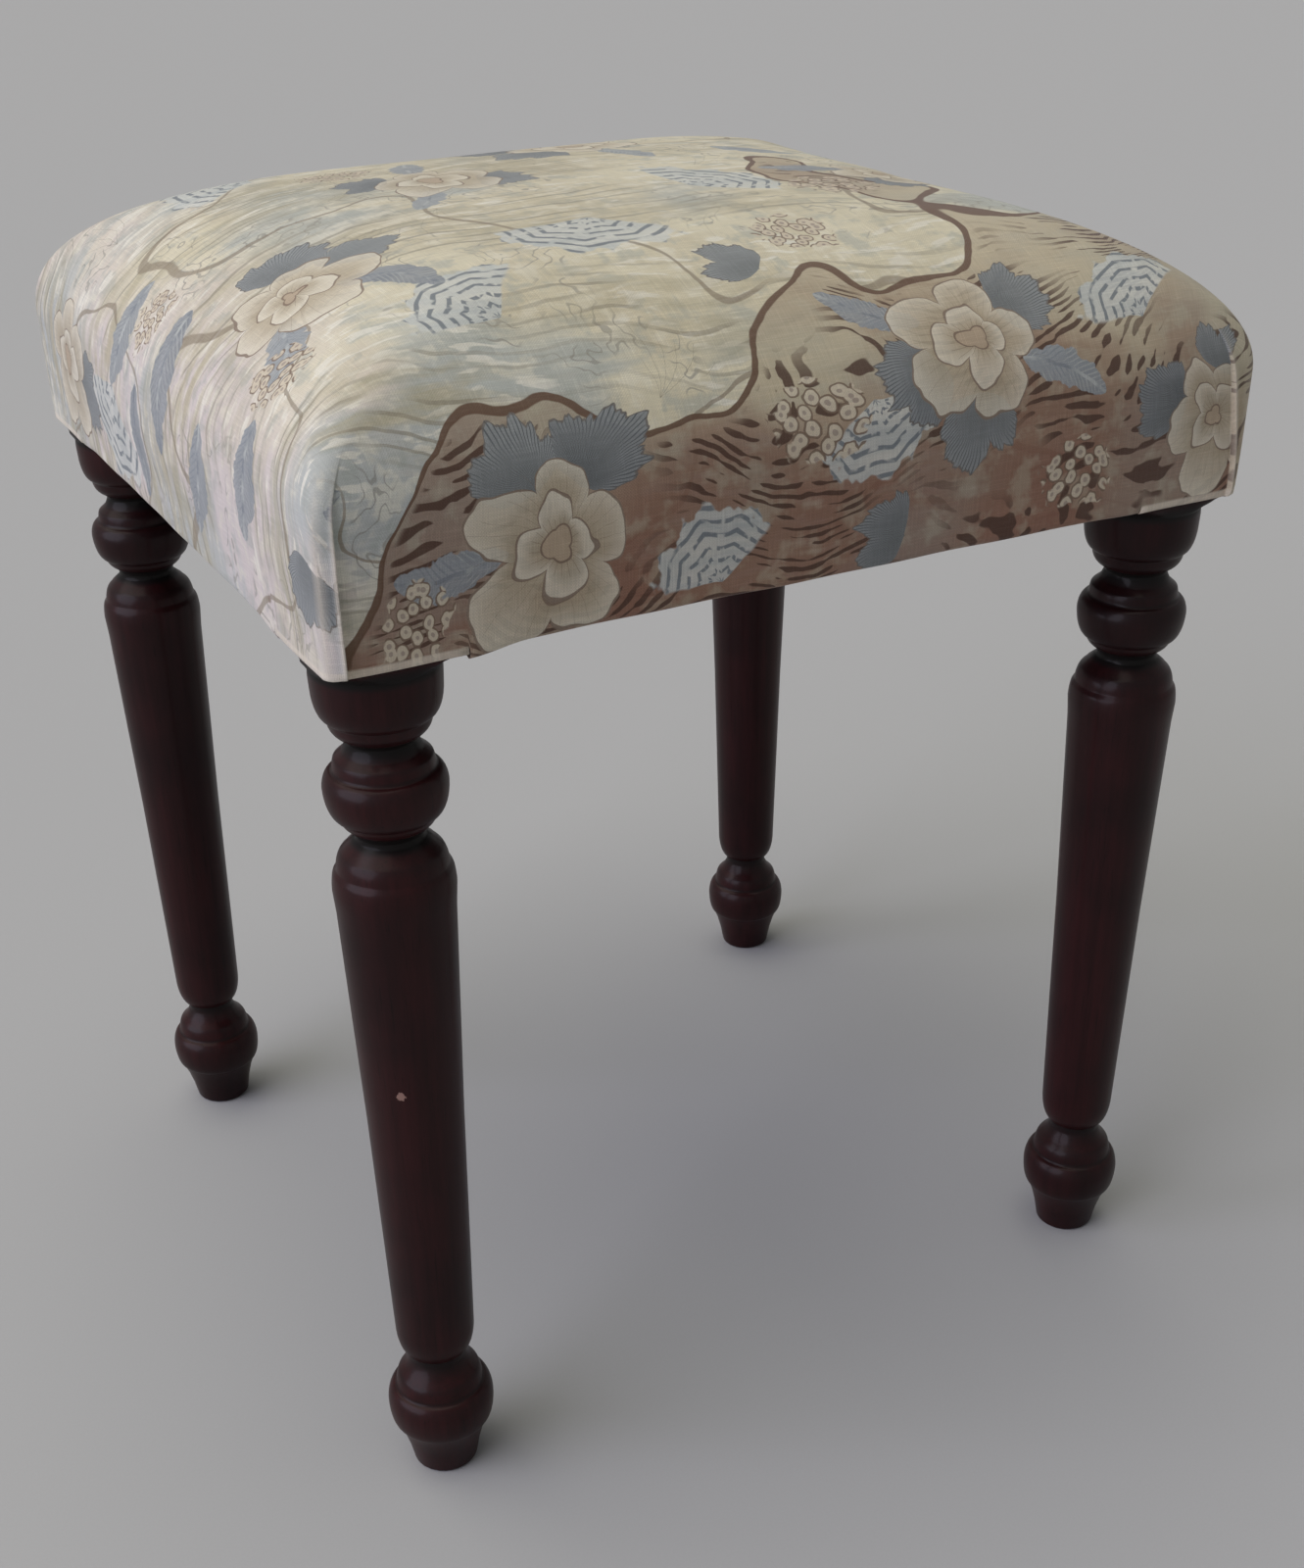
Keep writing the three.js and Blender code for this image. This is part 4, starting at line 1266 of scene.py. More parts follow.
bloom, x, y, seed = drawing("line flower", ("Fill", "Lines", "Heart", "Shade"))
r, a = polar(x, y)
petal_drift = noise(vector_calc("ADD", bloom.input("Place"), join(seed * 50.0, 0.0)), 2.3, 1.0)
uneven = r * (1 + calc("SINE", a + seed * 60.0) * 0.13) + (petal_drift - 0.5) * 0.34
outer = 0.60 + waves(a, 5.0, 0.3) ** 0.6 * 0.36
inner = 0.31 + waves(a, 4.0, 1.1) ** 0.7 * 0.22
heart = 0.13 + waves(a, 3.0) * 0.06
petals = below(uneven, outer, 0.02)
ray = flat_noise(join(a * 2.2, 0.0), 3.0, 2.0)
ribs = line_at(calc("SINE", a * 19.0 + r * 2.5) * r, 0.020)
rib_zone = step_up(uneven, 0.0, 0.04) * step_up(uneven - inner, 0.0, 0.03)
rib_zone = rib_zone * below(uneven - inner, ray * 0.85 - 0.06, 0.05)
inner_ribs = line_at(calc("SINE", a * 11.0 - r * 4.0) * r, 0.02)
inner_zone = step_up(uneven - heart, 0.0, 0.02) * below(uneven - heart, ray * 0.25, 0.04)
lines = either(line_at(uneven - outer, 0.011), line_at(uneven - inner, 0.010))
lines = either(either(lines, line_at(uneven - heart, 0.010)), ribs * rib_zone * 0.85)
bloom.output(
    Fill=petals, Lines=either(lines, inner_ribs * inner_zone * 0.8),
    Heart=below(uneven, heart, 0.02),
    Shade=either(
        step_up(uneven, inner - 0.03, outer + 0.1),
        step_up(uneven, heart - 0.02, inner) * below(uneven, inner, 0.01)))
tell("leaf, long leaf and flower", leaf, frond, bloom)

# %% Draw stones, plumes and sprigs
def cells(place, scale):
    """How far a place is from the middle of its Voronoi cell."""
    inputs = {"Vector": place, "Scale": scale}
    return added("TexVoronoi", inputs, "Distance", voronoi_dimensions="2D")


stones, x, y, _ = drawing("stones", ("Fill", "Lines", "Dots"))
r, _ = polar(x, y * 1.35)
patch = below(r + (flat_noise(stones.input("Place"), 3.0) - 0.5) * 0.6, 0.62, 0.05)
core = cells(stones.input("Place"), 4.2) + (flat_noise(join(x, y), 7.0, 1.0) - 0.5) * 0.22
stones.output(
    Fill=patch * below(core, 0.40, 0.05), Lines=patch * line_at(core - 0.43, 0.045),
    Dots=patch * below(core, 0.11, 0.05))

plume, x, y, seed = drawing("plume", ("Fill", "Strokes"))
r, a = polar(x, y + 0.45)
narrow = below(abs(a), 1.15, 0.08)
tip = r + (flat_noise(plume.input("Place"), 4.0) - 0.5) * 0.5
fan = narrow * below(tip, 0.86, 0.06)
arcs = fraction(r * 6.6 + waves(a, 9.0) * 0.34 + seed * 20.0) - 0.5
strength = flat_noise(join(a * 2.0, r * 3.0), 2.2, 1.0)
plume.output(Fill=fan, Strokes=fan * line_at(arcs, 0.13) * step_up(strength, 0.36, 0.5))

sprig, x, y, _ = drawing("sprig", ("Lines",))
r, a = polar(x + y * y * 0.25, y + 0.5)
twigs = line_at(calc("SINE", a * 12.0 + r * 2.4) * r, 0.016)
tips = flat_noise(join(a * 5.0, 0.0), 2.0, 1.0)
sprig.output(Lines=twigs * below(abs(a), 0.62, 0.06) * below(r, 0.5 + tips * 0.9, 0.05))
tell("stones, plume and sprig", stones, plume, sprig)

# %% [markdown]
# ## Bank, water and pen lines
#
# The bank is where a slow noise, tilted towards the front and right, is above zero, and its
# outline is where it is zero. Its short strokes are terraces across the cloth that drift up and
# down and are broken by more noise. Water is finer terraces. The pen's curls and thin branches
# are the places where a noise has a certain value, as the lines of a map follow a height.
# Drawn one by one, all these strokes would need hundreds of curves.

# %% Draw the bank, the water and the pen lines
bank, u, v, _ = drawing("bank", ("Fill", "Outline", "Strokes"))
place = bank.input("Place")
slope = flat_noise(elsewhere(place, 0.83, 0.41), 8.5, 2.0, 0.4) * 2.4 - 1.2
ground = slope + (v * -6.0) + u * 3.0 - 0.78
weight = step_up(streaks(place, 58.0, 110.0), 0.42, 0.62)
drift = flat_noise(place, 7.5, 1.0) * 0.17 + flat_noise(place, 60.0, 1.0) * 0.004
terrace = fraction((v + drift) / 0.0050) - 0.5
thick = 0.15 + flat_noise(place, 20.0, 1.0) * 0.16
stroke = below(abs(terrace), weight * thick, 0.07) * step_up(weight, 0.02, 0.2)
tufts = step_up(flat_noise(place, 15.0, 1.0), 0.26, 0.44)
thickness = 0.006 + flat_noise(place, 30.0, 1.0) * 0.022
bank.output(
    Fill=step_up(ground, 0.0, 0.02), Outline=below(abs(ground), thickness, 0.008),
    Strokes=stroke * tufts * step_up(ground, 0.03, 0.12))

water, u, v, _ = drawing("water", ("Wash", "Lines"))
place = water.input("Place")
flow = v + flat_noise(place, 4.0, 2.0, 0.4) * 0.16 + u * 0.12
reach = streaks(place, 5.0, 11.0)
broken = streaks(place, 16.0, 90.0)
lines = line_at(fraction(flow / 0.0066) - 0.5, 0.09)
water.output(
    Wash=step_up(reach, 0.42, 0.62),
    Lines=lines * step_up(reach, 0.42, 0.56) * step_up(broken, 0.40, 0.60))

pen, *_ = drawing("pen lines", ("Dark", "White", "Branch"))
place = pen.input("Place")
folds = flat_noise(place, 26.0, 3.0, 0.55)
gaps = flat_noise(place, 34.0, 1.0)
crowd = flat_noise(elsewhere(place, 0.7, 2.3), 11.0, 1.0)
knots_on = flat_noise(place, 9.0, 1.0)
curls = line_at(fraction(folds * 9.0) - 0.5, 0.055) * step_up(gaps, 0.46, 0.54)
flecks = streaks(place, 60.0, 240.0, 2.0)
knots = flat_noise(elsewhere(place, 1.9, 0.6), 5.5, 2.0, 0.45)
branch = line_at(knots - 0.5, 0.0022 + step_up(knots_on, 0.4, 0.7) * 0.003)
pen.output(
    Branch=branch * step_up(knots_on, 0.3, 0.42),
    Dark=curls * step_up(crowd, 0.46, 0.56),
    White=step_up(flecks, 0.56, 0.66) * below(crowd, 0.5, 0.12))
tell("bank, water and pen", bank, water, pen)

# %% [markdown]
# ## Painting the cloth
#
# The coats are painted as on a table: washes first, then pen lines, water and bank, then
# sprigs, plumes, leaves and stones, the flowers, and at last the rubbed edges, paler partly as
# wear and partly as a painted highlight. Where a motif lies is a list of spots, and most leaves
# lie beside a flower. Scattering them at random was another way, but a designer spaces motifs
# one by one, and so do these lists.

# %% Where the motifs lie on the cloth
BLOOMS = (
    (66, -184, 15, 33, 0.3), (-158, -66, 70, 34, 1.4), (24, 84, 200, 33, 0.9),
    (206, 74, 130, 36, 0.8), (-110, 214, 30, 38, 1.1), (150, 225, 80, 36, 0.2),
    (-112, -234, 20, 34, 0.6), (118, -36, 60, 26, 0.5), (-62, 26, 100, 27, 0.7),
    (178, -232, 50, 26, 1.2), (-236, 128, 10, 32, 0.4),
)


def beside(flower, angle, reach, size, seed):
    """A spot beside a flower, on this side of it, with the foot of the motif towards it."""
    x, y = BLOOMS[flower][:2]
    way = math.radians(angle)
    return (x + reach * math.cos(way), y + reach * math.sin(way), angle - 90, size, seed)


LEAVES = [beside(*spot) for spot in (
    (0, 205, 36, 34, 0.2), (0, 265, 37, 32, 0.7), (0, 30, 34, 30, 0.5), (1, 70, 38, 34, 0.6),
    (1, 20, 36, 30, 1.1), (2, 160, 36, 34, 0.3), (2, 220, 36, 30, 0.9), (3, 200, 38, 34, 0.8),
    (3, 130, 38, 34, 0.4), (4, 300, 40, 38, 0.6), (5, 190, 38, 36, 0.2), (6, 60, 38, 36, 0.3),
    (6, 115, 36, 32, 0.8), (7, 250, 28, 26, 0.5), (7, 10, 28, 26, 1.0), (8, 330, 30, 28, 0.9),
    (8, 150, 30, 26, 0.4), (9, 150, 30, 28, 0.1), (9, 60, 30, 28, 0.7), (10, 250, 36, 34, 0.5),
)] + [
    (-14, -128, 42, 26, 0.7), (120, 140, -20, 32, 1.2), (236, -48, -110, 36, 0.4),
    (20, -252, 70, 28, 0.4), (-18, 170, 95, 30, 0.9), (-250, -180, 70, 30, 0.5),
]
FRONDS = [beside(*spot) for spot in (
    (0, 150, 42, 44, 0.5), (0, 330, 42, 42, 1.0), (1, 310, 42, 44, 0.3), (1, 240, 42, 46, 0.9),
    (2, 40, 42, 44, 0.7), (2, 280, 40, 42, 1.2), (3, 270, 46, 46, 0.6), (4, 200, 48, 50, 0.4),
    (6, 180, 42, 42, 0.6), (7, 160, 34, 36, 0.2), (8, 240, 36, 38, 1.3), (8, 80, 34, 36, 0.8),
    (5, 280, 46, 50, 0.3),
)] + [
    (-226, -118, 84, 52, 0.4), (-212, -12, 98, 60, 0.2), (-242, -62, 76, 50, 0.5),
    (-206, 52, 76, 56, 0.8), (-246, 20, 92, 44, 0.3), (-222, -206, 96, 42, 0.7),
    (28, 214, 0, 52, 0.7), (96, 34, 40, 38, 1.2),
]
STONES = (
    (-6, -206, 10, 30, 0.2), (-166, -252, 60, 26, 0.7), (74, -62, 20, 28, 0.4),
    (-86, 76, -30, 26, 0.9), (222, -178, 70, 26, 0.1), (-184, -118, 90, 24, 0.5),
    (76, 150, 30, 28, 0.3), (-196, 22, 0, 24, 0.8), (26, -112, 0, 26, 0.6),
    (112, -246, 0, 26, 0.5),
)
SPRIGS = (
    (-86, -46, 170, 40, 0.2), (-14, 52, 20, 40, 0.5), (-150, 14, 60, 36, 0.7),
    (62, 6, 300, 40, 0.3), (-2, -88, 120, 34, 0.9), (-80, 160, 40, 42, 0.4),
    (-250, -20, 90, 36, 0.6), (150, 96, 230, 38, 0.1), (-176, 130, 10, 40, 0.5),
    (-60, -176, 330, 34, 0.3), (210, -118, 200, 34, 0.6),
)
PLUMES = (
    (-50, -92, 160, 44, 0.2), (146, -172, 20, 34, 0.9), (-252, 58, 80, 42, 0.6),
    (-130, 118, 60, 44, 1.3), (36, -34, -60, 42, 0.4), (150, 40, 30, 42, 1.1),
    (-118, -128, 40, 38, 0.5), (20, -214, 200, 32, 0.7), (-6, 130, 190, 38, 0.3),
    (-52, -246, 20, 30, 0.8), (190, -20, 150, 36, 0.5),
)
print("flowers, leaves, long leaves, stones, sprigs and plumes:",
      [len(spots) for spots in (BLOOMS, LEAVES, FRONDS, STONES, SPRIGS, PLUMES)])

# %% Washes, pen lines and water
printed = Finish("printed_linen", Sheen_Weight=0.22, Sheen_Roughness=0.45, IOR=1.45,
                 Specular_IOR_Level=0.22)
flat_place = printed.attribute("cloth", "Vector")
threads = weave.place(Place=flat_place)
hand = wobbled(wobbled(flat_place, 55 * MM, 7 * MM), 9 * MM, 0.8 * MM)
soft_wash = flat_noise(flat_place, 13.0, 3.0, 0.55)
brush = streaks(hand, 22.0, 120.0, 3.0, 0.6)
blot = flat_noise(flat_place, 75.0, 3.0, 0.6)

cloth = Coats("ded7bd").add(step_up(soft_wash, 0.35, 0.65), "d2c9ae")
# Painted light: the left side of the cloth is tinted lilac for the cool window light that falls on
# it.
painted_window_light = step_up(split(flat_place)[0] * -1.0 + (soft_wash - 0.5) * 0.16, 0.12, 0.24)
cloth.add(painted_window_light * 0.75, "d6ccd0")
tinted = flat_noise(elsewhere(flat_place, 3.1, 1.7), 9.0, 2.0, 0.5)
cloth.add(step_up(tinted + brush * 0.25, 0.62, 0.80) * 0.8, "b2bab9")
cloth.add(step_up(blot + brush * 0.3, 0.66, 0.84) * 0.5, "a9afa8")
cloth.add(step_up(blot * -1.0 + soft_wash * 0.5, -0.22, -0.06) * 0.5, "e9e5d3")
scribble = pen.place(Place=hand)
cloth.add(scribble["White"] * 0.7, "ece9dc")
cloth.add(scribble["Dark"] * 0.6, "8e8b83")
rushes = water.place(Place=hand)
cloth.add(rushes["Wash"] * step_up(brush, 0.3, 0.7) * 0.75, "b6ad8f")
cloth.add(rushes["Lines"] * 0.6, "8f8876")
cloth.add(scribble["Branch"] * 0.7, "8a7d6a")
tell("washes, lines and water", printed)

# %% The bank
shore = bank.place(Place=hand)
# Down the front of the seat the bank is painted darker and redder: partly the print's own tone,
# partly painted shade on the front face, which gets little direct light.
low_bank_and_painted_shade = step_up(split(flat_place)[1] * -1.0 + (soft_wash - 0.5) * 0.1, 0.165, 0.235)
bank_tan_and_shade = Coats("c3b79c").add(low_bank_and_painted_shade, "8a604f")
bank_tan_and_shade.add(step_up(soft_wash + brush * 0.2, 0.45, 0.75) * 0.5, "8f715d")
bank_tan_and_shade.add(step_up(blot + brush * 0.3, 0.62, 0.84) * 0.4, "c0b79f")
bank_tan_and_shade.add(step_up(tinted + brush * 0.2, 0.52, 0.75) * 0.25, "aab0a4")
cloth.add(shore["Fill"] * 0.92, bank_tan_and_shade.colour)
cloth.add(shore["Strokes"] * 0.9, "533b30")
cloth.add(shore["Outline"] * 0.95, "6b5241")
tell("with the bank", printed)

# %% Sprigs, plumes and leaves
twigs = sprig.place(Place=seen_from(hand, SPRIGS))
cloth.add(twigs["Lines"] * 0.75, "7c745f")
feathers = plume.place(Place=seen_from(hand, PLUMES))
cloth.add(feathers["Fill"] * 0.85, blend(brush, "e6e5da", "aeb8bb"))
cloth.add(feathers["Strokes"] * 0.85, "6e777e")

mottle = step_up(blot, 0.34, 0.62)
nearest_frond = seen_from(hand, FRONDS)
blades = frond.place(Place=nearest_frond)
paler = split(nearest_frond)[2] * 70.0
slate = Coats("a0a5aa").add(brush * 0.6 + mottle * 0.4, "73797f")
slate.add(paler * 0.5, "b4babb")
cloth.add(blades["Fill"] * (0.75 + brush * 0.4), slate.colour)
cloth.add(blades["Veins"] * 0.6, blend(mottle, "6b747e", "c9cdc9"))

nearest_leaf = seen_from(hand, LEAVES)
fans = leaf.place(Place=nearest_leaf)
paler = split(nearest_leaf)[2] * 70.0
slate = Coats("43474b").add(fans["Shade"] * 0.9 + brush * 0.3, "8c9193")
slate.add(paler * 0.4, "b0b5b2")
cloth.add(fans["Fill"] * 0.96, slate.colour)
ray_colour = blend(fans["Shade"], "9aa2a3", "484e53")
cloth.add(fans["Rays"] * 0.75, ray_colour)
cloth.add(fans["Outline"] * 0.7, "716961")
tell("with sprigs, plumes and leaves", printed)

# %% Stones, flowers and wear
pebbles = stones.place(Place=seen_from(hand, STONES))
cloth.add(pebbles["Fill"] * 0.9, blend(soft_wash, "e2dac4", "bfae98"))
cloth.add(pebbles["Lines"] * 0.85, "7a6656")
cloth.add(pebbles["Dots"] * 0.6, "8b7a74")

flower = bloom.place(Place=seen_from(hand, BLOOMS))
petal = blend(flower["Shade"] + brush * 0.3 - 0.15, "b9ac93", "e3dcc9")
cloth.add(flower["Fill"] * 0.8, petal)
cloth.add(flower["Heart"] * 0.6, "b9a48c")
cloth.add(flower["Lines"] * 0.85, "7d6a5b")
# Paler rubbed edges: partly wear, partly a painted highlight on the folds and hem.
cloth.add(printed.attribute("wear_and_highlight") * 0.75, "e6dccb")

tint = 0.80 + threads["Tint"] * 0.32
printed.set("Base Color", blend(1.0, cloth.colour, join(tint, tint, tint), "MULTIPLY"))
printed.set("Roughness", 0.94 - threads["Tint"] * 0.1)
printed.relief(threads["Height"] + soft_wash * 0.4, 0.14 * MM, 0.7)
tell("printed cloth", printed)

# %% [markdown]
# ## Sewing the cover together
#
# Each corner of each face gets its place on the flat cloth. Front and back keep their own cloth
# straight, and so do the two sides. Above the pleats they share it, so the drawing runs on
# round the shoulder, and inside the pleat a piece of it is lost in the fold, as in real cloth.
# Unwrapping by angle would draw seams across the print in other places. Where the cloth is
# rubbed most, at the corners, the ridges of the folds and the hem over the legs, it is painted
# paler: partly wear, partly a painted highlight on these edges.

# %% Places on the flat cloth
EASE_START = 0.62
HEM_START = (0, 3.0)
SEAM = 1e-6
FLAP_EDGE = (GROOVE_MARK + 0.05) * MM


def cloth_places(cover):
    """For each point its place by the front's cloth, by the side's cloth, and in the flap."""
    grown = [np.interp(cover.level, middles, p) for p in profiles]
    inset = ring_at(cover.level)[0]
    reach = [(HEM_OUT[i] - inset) * cover.scale for i in (0, 1)]
    surplus = [g - r for g, r in zip(grown, reach)]
    hem_walk = np.zeros(len(cover.level))
    for table, zone in ((FOLDED_HEM, on_post), (ROLLED_HEM, ~on_post)):
        walked = np.cumsum(np.hypot(*np.diff([HEM_START, *table], axis=0).T)) * MM
        for k in range(HEM_ROWS):
            hem_walk[zone & (cover.hem_row == k)] = walked[k]
    x, y = cover.base[:, 0], cover.base[:, 1]
    sign_x, sign_y = np.sign(x), np.sign(y)
    ease = smooth(np.abs(cover.share), EASE_START, 1) * (1 - cover.strength)
    front = np.column_stack([
        x + ease * sign_x * surplus[0], y + sign_y * (surplus[1] + hem_walk)])
    side = np.column_stack([
        x + sign_x * (surplus[0] + hem_walk), y + ease * sign_y * surplus[1]])
    flap = np.column_stack([
        sign_x * (np.maximum(np.abs(x), reach[0]) + surplus[0] + hem_walk),
        sign_y * (reach[1] + cover.distance)])
    return front, side, front + (flap - front) * cover.strength[:, None]


front_places, side_places, flap_places = cloth_places(cover)


def places_of(face):
    """The cloth that a face is cut from, as a list of places."""
    if max(cover.level[v] for v in face) < 1:
        out_x, out_y = np.abs(np.mean(cover.base[list(face)], axis=0))[:2] / HEM_OUT
        on_front = out_y > out_x
    else:
        on_front = all(cover.side[v] % 2 == 1 or cover.mark_distance[v] < SEAM for v in face)
    in_flap = max(cover.mark_distance[v] for v in face) < FLAP_EDGE
    return (flap_places if in_flap else front_places) if on_front else side_places


print("flat cloth of the front and of the sides:",
      [(np.ptp(places, axis=0) / MM).round().tolist() for places in (front_places, side_places)],
      "mm")

# %% Make the cover
CLOTH_THICKNESS = 0.7 * MM
CORNER_WEAR_AND_HIGHLIGHT = ((0, 0.7), (1.5, 0.35), (3.5, 0))
RIDGE_WEAR_AND_HIGHLIGHT = ((0, 1), (0.5, 0.6), (1.2, 0))
RIDGE_WEAR_AND_HIGHLIGHT_MARK = 5.7
EDGE_WEAR_AND_HIGHLIGHT = 0.9
WORN_AND_HIGHLIT_HEM_ROWS = (0, 1, 2)

seat = piece("seat_cover_printed", points, faces, printed.material)
thicken(seat, CLOTH_THICKNESS)
cloth_map = seat.data.uv_layers.new(name="cloth")
flat_uvs = []
for face in faces:
    places = places_of(face)
    flat_uvs += [places[v] for v in face]
cloth_map.data.foreach_set("uv", np.array(flat_uvs, dtype=np.float32).ravel())
# These marks paint the corners, fold ridges and hem edges paler: partly wear, partly a painted
# highlight.
corner_wear_and_highlight = read_off(cover.mark_distance / MM, CORNER_WEAR_AND_HIGHLIGHT) * cover.strength
ridge_wear_and_highlight = read_off(np.abs(cover.mark_distance / MM - RIDGE_WEAR_AND_HIGHLIGHT_MARK), RIDGE_WEAR_AND_HIGHLIGHT)
ridge_wear_and_highlight *= cover.strength * (cover.side % 2 == 1)
edge_wear_and_highlight = np.isin(cover.hem_row, WORN_AND_HIGHLIT_HEM_ROWS) * on_post * EDGE_WEAR_AND_HIGHLIGHT
mark(seat, "wear_and_highlight", np.maximum(np.maximum(corner_wear_and_highlight, ridge_wear_and_highlight), edge_wear_and_highlight))
stands_for(seat, "printed_cloth", "seat_cover")
print(size_of(seat))

# %% [markdown]
# ## What lies under the cover
#
# Foam, wadding, hessian and webbing are never seen on a finished stool, yet they are real pieces
# with their own cloth and weave. The foam and the wadding share the cover's form, further in.
# The strips of webbing pass over and under each other. A plane with a Cloth simulation would
# hardly move between tight neighbours, so their heights are written down instead.

# %% Finishes for the padding
foam_finish = Finish("open_cell_foam", Roughness=0.95)
place = foam_finish.at()
foam_cells = cells(place, 620.0)
aged = noise(place, 14.0, 3.0, 0.6)
sponge = Coats("e6dba4").add(step_up(aged, 0.35, 0.7), "cfb978")
sponge.add(step_up(foam_cells, 0.35, 0.75) * 0.45, "8f7d49")
foam_finish.set("Base Color", sponge.colour)
foam_finish.relief(foam_cells, 0.5 * MM)

wadding_finish = Finish("fibre_wadding", Roughness=1.0, Sheen_Weight=0.4, Sheen_Roughness=0.6)
place = wadding_finish.at()
fibres = noise(wobbled(place, 12 * MM, 6 * MM), 380.0, 4.0, 0.75)
tufts = noise(place, 55.0, 3.0, 0.6)
fluff = Coats("dcd9d0").add(step_up(fibres, 0.35, 0.65), "f3f1ea")
fluff.add(step_up(tufts, 0.5, 0.8) * 0.5, "cdc9bd")
wadding_finish.set("Base Color", fluff.colour)
wadding_finish.relief(fibres * 0.6 + tufts, 1.2 * MM)
tell("foam and wadding", foam_finish, wadding_finish)

# %% Finishes for webbing, hessian and the dust cover
def woven(name, streak_waves, pitch, codes, thread_depth, **constants):
    """A plain woven cloth in a dark tone, a light tone and a stain, placed by where it lies."""
    finish = Finish(name, **constants)
    place = finish.at()
    threads = weave.place(Place=place, Pitch=pitch)
    stain = noise(place, 22.0, 3.0, 0.6)
    stripe = noise(vector_calc("MULTIPLY", place, streak_waves), 1.0, 2.0, 0.6)
    dark, light, stained = codes
    tone = Coats(dark).add(step_up(threads["Tint"] * 0.7 + stripe * 0.3, 0.3, 0.8), light)
    tone.add(step_up(stain, 0.45, 0.8) * 0.5, stained)
    finish.set("Base Color", tone.colour)
    finish.set("Roughness", 0.97 - threads["Tint"] * 0.12)
    finish.relief(threads["Height"] + stripe * 0.4, thread_depth)
    return finish


webbing_finish = woven(
    "jute_webbing", (160.0, 160.0, 1.0), 2.1 * MM, ("6f5330", "c0a06a", "8f6f42"), 0.7 * MM)
hessian_finish = woven(
    "hessian", (90.0, 420.0, 1.0), 1.5 * MM, ("5e4728", "b39563", "7c6138"), 0.5 * MM)
black_cloth = woven(
    "black_cambric", (300.0, 40.0, 1.0), 0.6 * MM, ("0f0f11", "26262a", "34332f"), 0.12 * MM,
    Sheen_Weight=0.15, Sheen_Roughness=0.5)
tell("webbing, hessian and dust cover", webbing_finish, hessian_finish, black_cloth)

# %% Foam and wadding
FOAM_OFFSET = 8.1 * MM
WADDING_OFFSET = 1.8 * MM
WADDING_THICKNESS = 6 * MM
FOAM_BOTTOM_LEVEL = 1.839
WADDING_BOTTOM_LEVEL = 1.951
PAD_MARKS = (0, 3, 6, 10, 15)
PAD_ROWS = 10
PAD_CELL = 6 * MM


def pad_piece(name, bottom_level, offset, material, solid):
    """A layer of the pad from a level upwards. A solid one is closed and has crisp edges."""
    grid = PadGrid(PAD_MARKS, np.linspace(1, bottom_level, PAD_ROWS)[1:], PAD_CELL)
    layer, _ = pad_points(grid.side, grid.share, grid.level, offset)
    faces = sum(grid.faces(), [])
    if solid:
        faces.append(tuple(reversed(range(len(layer) - grid.around, len(layer)))))
    return piece(name, layer, faces, material, edged=solid)


foam = pad_piece("foam_block", FOAM_BOTTOM_LEVEL, FOAM_OFFSET, foam_finish.material, True)
stands_for(foam, "foam", "seat_foam")
wadding = pad_piece(
    "wadding_layer", WADDING_BOTTOM_LEVEL, WADDING_OFFSET, wadding_finish.material, False)
thicken(wadding, WADDING_THICKNESS)
stands_for(wadding, "wadding", "seat_wadding")
print(size_of(foam), "and", size_of(wadding))

# %% Flat cloth with a thickness
def slab(xs, ys, height, thickness, kept=None):
    """A sheet over a grid: height gives its top at each x and y, kept says which cells it has."""
    gx, gy = np.meshgrid(xs, ys)
    top = np.column_stack([gx.ravel(), gy.ravel(), height(gx, gy).ravel()])
    low = top - (0, 0, thickness)
    nx, count = len(xs), len(top)
    faces, borders = [], {}
    for j in range(len(ys) - 1):
        for i in range(nx - 1):
            if kept is not None and not kept((xs[i] + xs[i + 1]) / 2, (ys[j] + ys[j + 1]) / 2):
                continue
            ring = (nx * j + i, nx * j + i + 1, nx * (j + 1) + i + 1, nx * (j + 1) + i)
            faces += [ring, tuple(v + count for v in reversed(ring))]
            for a, b in zip(ring, ring[1:] + ring[:1]):
                if (b, a) in borders:
                    del borders[b, a]
                else:
                    borders[a, b] = True
    faces += [(b, a, a + count, b + count) for a, b in borders]
    used = sorted({v for face in faces for v in face})
    renamed = {v: i for i, v in enumerate(used)}
    points = np.vstack([top, low])[used]
    return points, [tuple(renamed[v] for v in face) for face in faces]


def steps_between(low, high, longest):
    return np.linspace(low, high, max(2, math.ceil((high - low) / longest) + 1))


def lay(name, shape, finish, slot, packed, **sheet):
    """A stretched sheet of this shape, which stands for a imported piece."""
    made = piece(name, *shape, finish.material, edged=True)
    stands_for(made, slot, packed)
    print(size_of(made))


print("a sheet of one cell has", len(slab([0, 1], [0, 1], np.add, 1)[1]), "faces")

# %% Webbing
WEB_MIDDLE = 436.9 * MM
WEB_WIDTH = 50 * MM
WEB_THICKNESS = 1.6 * MM
WEB_SPACING = (90 * MM, 84 * MM)
WEB_HALF = (187 * MM, 176.5 * MM)
RAIL_IN = (177 * MM, 166.5 * MM)
WEB_STEP = 0.95 * MM
WEB_FLAT = 27 * MM
WEB_CELL = (4 * MM, 5 * MM)
WEB_WAYS = ("across", "back")
WEB_RAILS = (["rail_left", "rail_right"], ["rail_front", "rail_back"])


